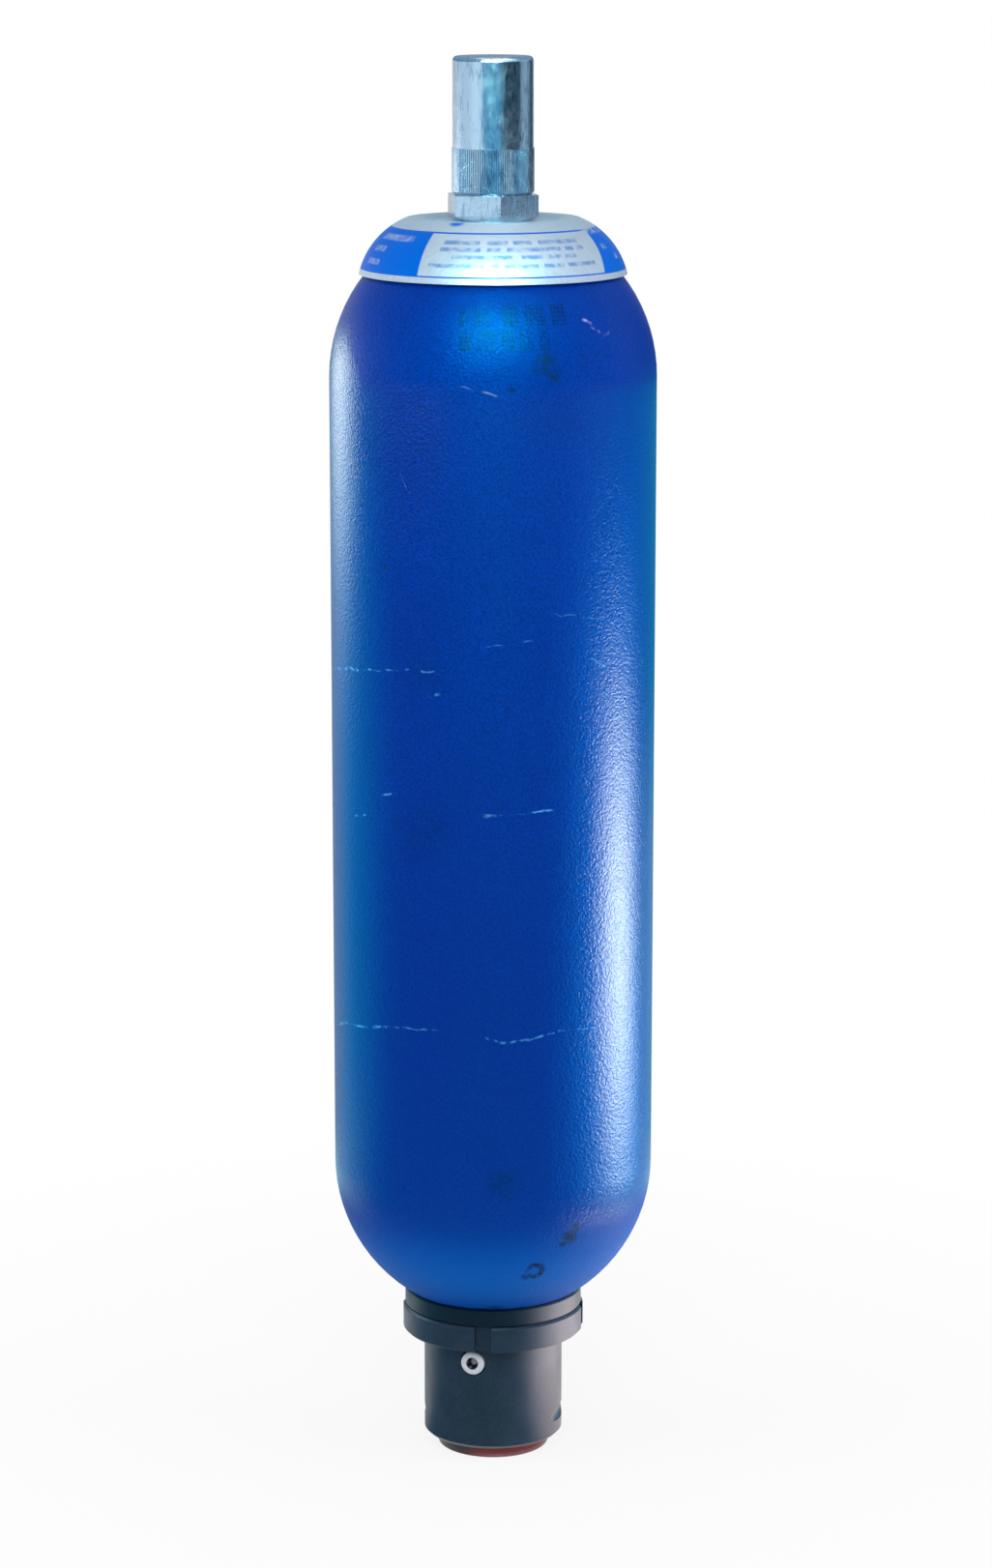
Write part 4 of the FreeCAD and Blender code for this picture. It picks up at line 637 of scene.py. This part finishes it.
# Pressed fibre: dark, matt and slightly hairy, with strands of 0.5 mm
fibre = new_material("pressed_seal_fibre")
place = add_node(fibre, "ShaderNodeTexCoord", {}, output="Object")
strands = add_node(fibre, "ShaderNodeTexNoise", {
    "Vector": place, "Scale": 2000.0, "Detail": 4.0})
fibre_tone = add_node(fibre, "ShaderNodeMixRGB", {
    "Fac": strands, "Color1": linear("#2B2A28"), "Color2": linear("#4A4743")})
fibre_shader = add_node(fibre, "ShaderNodeBsdfPrincipled", {
    "Base Color": fibre_tone, "Roughness": 0.8})
put_on(fibre, fibre_shader, "bleed_seal_ring")


# Floor and room: a white sheet under the object and white all round it. Both show white to the eye
# and in reflections. For the light between surfaces the sheet is matt paper, and the room is dim.

FLOOR_RADIUS = 9.0


def seen_directly(owner):
    """One for what the camera, a reflection or a view through glass meets, else nothing."""
    rays = add_node(owner, "ShaderNodeLightPath", {}).node.outputs
    return union(owner, rays["Is Camera Ray"], rays["Is Glossy Ray"], rays["Is Transmission Ray"])


# Paper, matt and white: near the plug a little of its own shade is left, so the object stands on it
sheet = new_material("white_paper_sheet")
place = add_node(sheet, "ShaderNodeTexCoord", {}, output="Object")
from_plug = add_node(sheet, "ShaderNodeVectorMath", {
    0: place}, output="Value", operation="LENGTH")
matt = add_node(sheet, "ShaderNodeBsdfDiffuse", {"Color": (0.9, 0.9, 0.9, 1.0)})
white = add_node(sheet, "ShaderNodeEmission", {"Color": (1.0, 1.0, 1.0, 1.0), "Strength": 1.0})
share = add_node(sheet, "ShaderNodeMapRange", {
    "Value": from_plug, "From Min": 0.03, "From Max": 0.40, "To Min": 0.86, "To Max": 1.0})
share = overlap(sheet, share, seen_directly(sheet))
sheet_shader = add_node(sheet, "ShaderNodeMixShader", {0: share, 1: matt, 2: white})
put_on(sheet, sheet_shader)


def add_mesh(name, points, faces, material):
    """Object of the studio with its mesh and material."""
    mesh = bpy.data.meshes.new(name)
    mesh.from_pydata(points, [], faces)
    mesh.materials.append(material)
    piece = bpy.data.objects.new(name, mesh)
    bpy.context.collection.objects.link(piece)
    return piece


rim = [(FLOOR_RADIUS * math.sin(math.radians(a)), FLOOR_RADIUS * math.cos(math.radians(a)), 0.0)
       for a in range(0, 360, 5)]
add_mesh("floor", rim, [list(reversed(range(len(rim))))], sheet)

room = bpy.data.worlds.new("white_room")
bpy.context.scene.world = room
room.use_nodes = True
room.node_tree.nodes.clear()
brightness = add_node(room, "ShaderNodeMapRange", {
    "Value": seen_directly(room), "To Min": 0.4, "To Max": 1.0})
backdrop = add_node(room, "ShaderNodeBackground", {
    "Color": (1.0, 1.0, 1.0, 1.0), "Strength": brightness})
world_output = room.node_tree.nodes.new("ShaderNodeOutputWorld")
room.node_tree.links.new(backdrop, world_output.inputs["Surface"])


# Reflector tent: a drum of cloth round the object, dark in front and pale at its sides. Only
# reflections meet it, so it draws the soft stripes on the paint and the plating.

TENT_RADIUS = 0.40
TENT_DARK = (0.016, 0.040, 0.070)
# panels: degrees to the right from and to, height from and to, soft edges, colour, strength
TENT_PANELS = [
    # at the height of the cap, for its stripes and its dark front, and round its back
    ((-122.0, -31.0), (0.385, 0.52), (3.0, 0.04), (0.72, 0.88, 1.0), 0.90),
    ((-64.0, -31.0), (0.400, 0.56), (14.0, 0.04), (0.80, 1.00, 1.05), 0.20),
    ((-205.0, -122.0), (0.385, 0.52), (14.0, 0.06), (0.88, 0.90, 0.94), 0.74),
    # on the left of the bottle: a dim blue wall and the long pale stripe
    ((-185.0, -126.0), (-0.05, 0.36), (12.0, 0.08), (0.42, 0.50, 0.62), 0.72),
    ((-132.0, -84.0), (-0.05, 0.36), (22.0, 0.08), (0.0, 0.72, 1.0), 0.85),
    ((-141.0, -112.0), (0.280, 0.420), (8.0, 0.06), (1.0, 0.88, 0.80), 2.0),
    ((-141.0, -112.0), (0.325, 0.420), (8.0, 0.05), (1.0, 0.88, 0.80), 2.5),
    ((-138.0, -113.0), (0.220, 0.300), (10.0, 0.08), (1.0, 0.88, 0.85), 0.5),
    # at the height of the cap again, its front and its right
    ((-31.0, 25.0), (0.385, 0.52), (3.0, 0.03), (0.13, 0.66, 1.12), 0.41),
    ((27.0, 60.0), (0.400, 0.56), (6.0, 0.05), (0.40, 0.85, 1.0), 0.01),
    ((84.0, 119.0), (0.400, 0.60), (8.0, 0.05), (0.62, 0.84, 1.0), 0.50),
    ((20.0, 84.0), (0.370, 0.434), (8.0, 0.02), (0.80, 0.90, 1.0), 0.30),
    ((123.0, 152.0), (0.385, 0.60), (16.0, 0.05), (0.45, 0.80, 1.0), 0.06),
    # on the right of the bottle: blue walls and the bright lamp that makes its broad highlight
    ((58.0, 112.0), (-0.05, 0.272), (24.0, 0.09), (0.0, 0.42, 1.0), 2.7),
    ((54.0, 120.0), (-0.05, 0.070), (24.0, 0.08), (0.0, 0.42, 1.0), 1.8),
    ((70.0, 125.0), (0.270, 0.400), (30.0, 0.06), (0.0, 0.50, 1.0), 0.60),
    ((120.0, 180.0), (-0.05, 0.36), (30.0, 0.06), (0.02, 0.60, 0.85), 0.50),
    ((83.0, 107.0), (0.026, 0.182), (14.0, 0.09), (1.0, 0.88, 0.70), 15.5),
    ((108.0, 160.0), (-0.03, 0.170), (16.0, 0.10), (1.0, 0.8, 0.9), 0.25),
    # on the floor, for the port and the lower round end
    ((-105.0, 58.0), (-0.60, -0.22), (20.0, 0.02), (0.03, 0.15, 0.25), 1.0),
    ((60.0, 122.0), (-0.60, -0.40), (26.0, 0.02), (1.0, 0.80, 0.76), 1.8),
    ((60.0, 122.0), (-0.36, -0.22), (26.0, 0.02), (1.0, 0.80, 0.76), 5.8),
    ((122.0, 180.0), (-0.60, -0.22), (24.0, 0.02), (1.0, 0.94, 0.92), 1.2),
    ((180.0, 255.0), (-0.60, -0.22), (24.0, 0.02), (1.0, 1.0, 1.05), 0.9),
    ((-105.0, 60.0), (-0.18, -0.06), (20.0, 0.02), (0.0, 0.25, 0.40), 0.9),
    ((72.0, 118.0), (-0.18, -0.06), (20.0, 0.02), (0.45, 0.95, 1.15), 1.2),
    ((118.0, 255.0), (-0.18, -0.06), (24.0, 0.02), (0.50, 0.74, 0.90), 1.0),
    # above the camera, for the glow on the upper round end and on the plate
    ((-28.0, 28.0), (0.555, 0.640), (14.0, 0.05), (1.0, 0.90, 0.84), 7.5),
    ((-17.0, 17.0), (0.600, 0.730), (8.0, 0.04), (0.0, 0.92, 0.85), 52.0),
    ((-17.0, 17.0), (0.600, 0.730), (8.0, 0.04), (1.0, 0.90, 0.84), 20.0),
    # high up, for the tops of the cap and of the plate
    ((-40.0, 80.0), (0.800, 1.40), (20.0, 0.10), (1.0, 0.97, 0.90), 1.7),
    ((28.0, 75.0), (0.560, 0.820), (10.0, 0.05), (0.60, 0.95, 1.0), 0.6),
    ((28.0, 332.0), (0.560, 1.40), (30.0, 0.10), (0.42, 0.72, 0.95), 0.5),
]
# the cloth on the floor has three zones, which the panels above know by these heights
FLOOR_MARKS = [-0.50] * 3 + [-0.30] * 3 + [-0.12] * 6
FLOOR_CLOTH_START, FLOOR_CLOTH_STEP, FLOOR_CLOTH_LIFT = 0.028, 0.031, 0.0006
WALL_STEPS, WALL_STEP, WALL_LIFT = 64, 0.02, 0.001
STEPS_ROUND = 180


def smooth_between(value, low, high, soft):
    """One between low and high, falling smoothly to nothing over the soft edge."""
    def rise(t):
        t = min(max(t, 0.0), 1.0)
        return t * t * (3.0 - 2.0 * t)
    return rise((value - low) / soft + 0.5) * rise((high - value) / soft + 0.5)


def tent_colour(degrees, up):
    """Light given off by the tent at a place on it."""
    red, green, blue = TENT_DARK
    for turns, heights, soft, colour, strength in TENT_PANELS:
        around = max(smooth_between(degrees + whole, *turns, soft[0])
                     for whole in (-360.0, 0.0, 360.0))
        glow = strength * around * smooth_between(up, *heights, soft[1])
        red += colour[0] * glow
        green += colour[1] * glow
        blue += colour[2] * glow
    return (red, green, blue, 1.0)


# rings of the cloth, out over the floor and up the wall: radius, height, height for the panels
tent_rings = [(FLOOR_CLOTH_START + i * FLOOR_CLOTH_STEP, FLOOR_CLOTH_LIFT, mark)
              for i, mark in enumerate(FLOOR_MARKS)]
tent_rings += [(TENT_RADIUS, i * WALL_STEP + WALL_LIFT, i * WALL_STEP) for i in range(WALL_STEPS)]
tent_points = []
tent_glow = []
for out, up, mark in tent_rings:
    for step in range(STEPS_ROUND):
        degrees = step * 360.0 / STEPS_ROUND
        angle = math.radians(degrees)
        tent_points.append((out * math.sin(angle), -out * math.cos(angle), up))
        tent_glow.append(tent_colour(degrees, mark))
tent_faces = [[ring * STEPS_ROUND + i, ring * STEPS_ROUND + (i + 1) % STEPS_ROUND,
               (ring + 1) * STEPS_ROUND + (i + 1) % STEPS_ROUND, (ring + 1) * STEPS_ROUND + i]
              for ring in range(len(tent_rings) - 1) for i in range(STEPS_ROUND)]

# Cloth, lit from behind: plain light in the panels' colours
cloth = new_material("tent_cloth")
glow = add_node(cloth, "ShaderNodeAttribute", {}, output="Color", attribute_name="glow")
cloth_shader = add_node(cloth, "ShaderNodeEmission", {"Color": glow, "Strength": 1.0})
put_on(cloth, cloth_shader)
tent = add_mesh("tent", tent_points, tent_faces, cloth)
glow_layer = tent.data.color_attributes.new("glow", "FLOAT_COLOR", "POINT")
glow_layer.data.foreach_set("color", [channel for colour in tent_glow for channel in colour])
tent.visible_camera = False
tent.visible_diffuse = False
tent.visible_transmission = False
tent.visible_volume_scatter = False
tent.visible_shadow = False


# Lamps: three wide softboxes, a stronger one above the camera and a weaker one at each side. They
# light the object from in front, and reflections don't meet them.

OBJECT_MIDDLE = 0.25


def add_softbox(name, degrees, distance, up, size, power):
    """Square area lamp at a place round the object, facing its middle."""
    lamp = bpy.data.lights.new(name, "AREA")
    lamp.shape = "SQUARE"
    lamp.size = size
    lamp.energy = power
    softbox = bpy.data.objects.new(name, lamp)
    angle = math.radians(degrees)
    softbox.location = (distance * math.sin(angle), -distance * math.cos(angle), up)
    facing = softbox.location.copy()
    facing.z -= OBJECT_MIDDLE
    softbox.rotation_euler = facing.to_track_quat("Z", "Y").to_euler()
    softbox.visible_camera = False
    softbox.visible_glossy = False
    bpy.context.collection.objects.link(softbox)


add_softbox("softbox_above_camera", 0.0, 1.3, 1.15, 0.8, 11.0)
add_softbox("softbox_left", -75.0, 1.5, 0.7, 1.0, 8.0)
add_softbox("softbox_right", 75.0, 1.5, 0.7, 1.0, 8.0)


# Camera: a little higher than the cap, 1.48 m in front, looking about 12 degrees down through a
# long lens.

CAMERA_DISTANCE, CAMERA_HEIGHT, CAMERA_TILT = 1.477, 0.555, 11.85
# the object stands this far left of the photo's middle, in pixels of its long side
SHIFT_PIXELS, LONG_SIDE_PIXELS = 3.0, 1622.0

view = bpy.data.cameras.new("camera")
view.lens = 97.66
view.sensor_width = 36.0
view.shift_x = SHIFT_PIXELS / LONG_SIDE_PIXELS
camera = bpy.data.objects.new("camera", view)
camera.location = (0.0, -CAMERA_DISTANCE, CAMERA_HEIGHT)
camera.rotation_euler = (math.radians(90.0 - CAMERA_TILT), 0.0, 0.0)
bpy.context.collection.objects.link(camera)
bpy.context.scene.camera = camera
bpy.context.scene.view_settings.view_transform = "Standard"
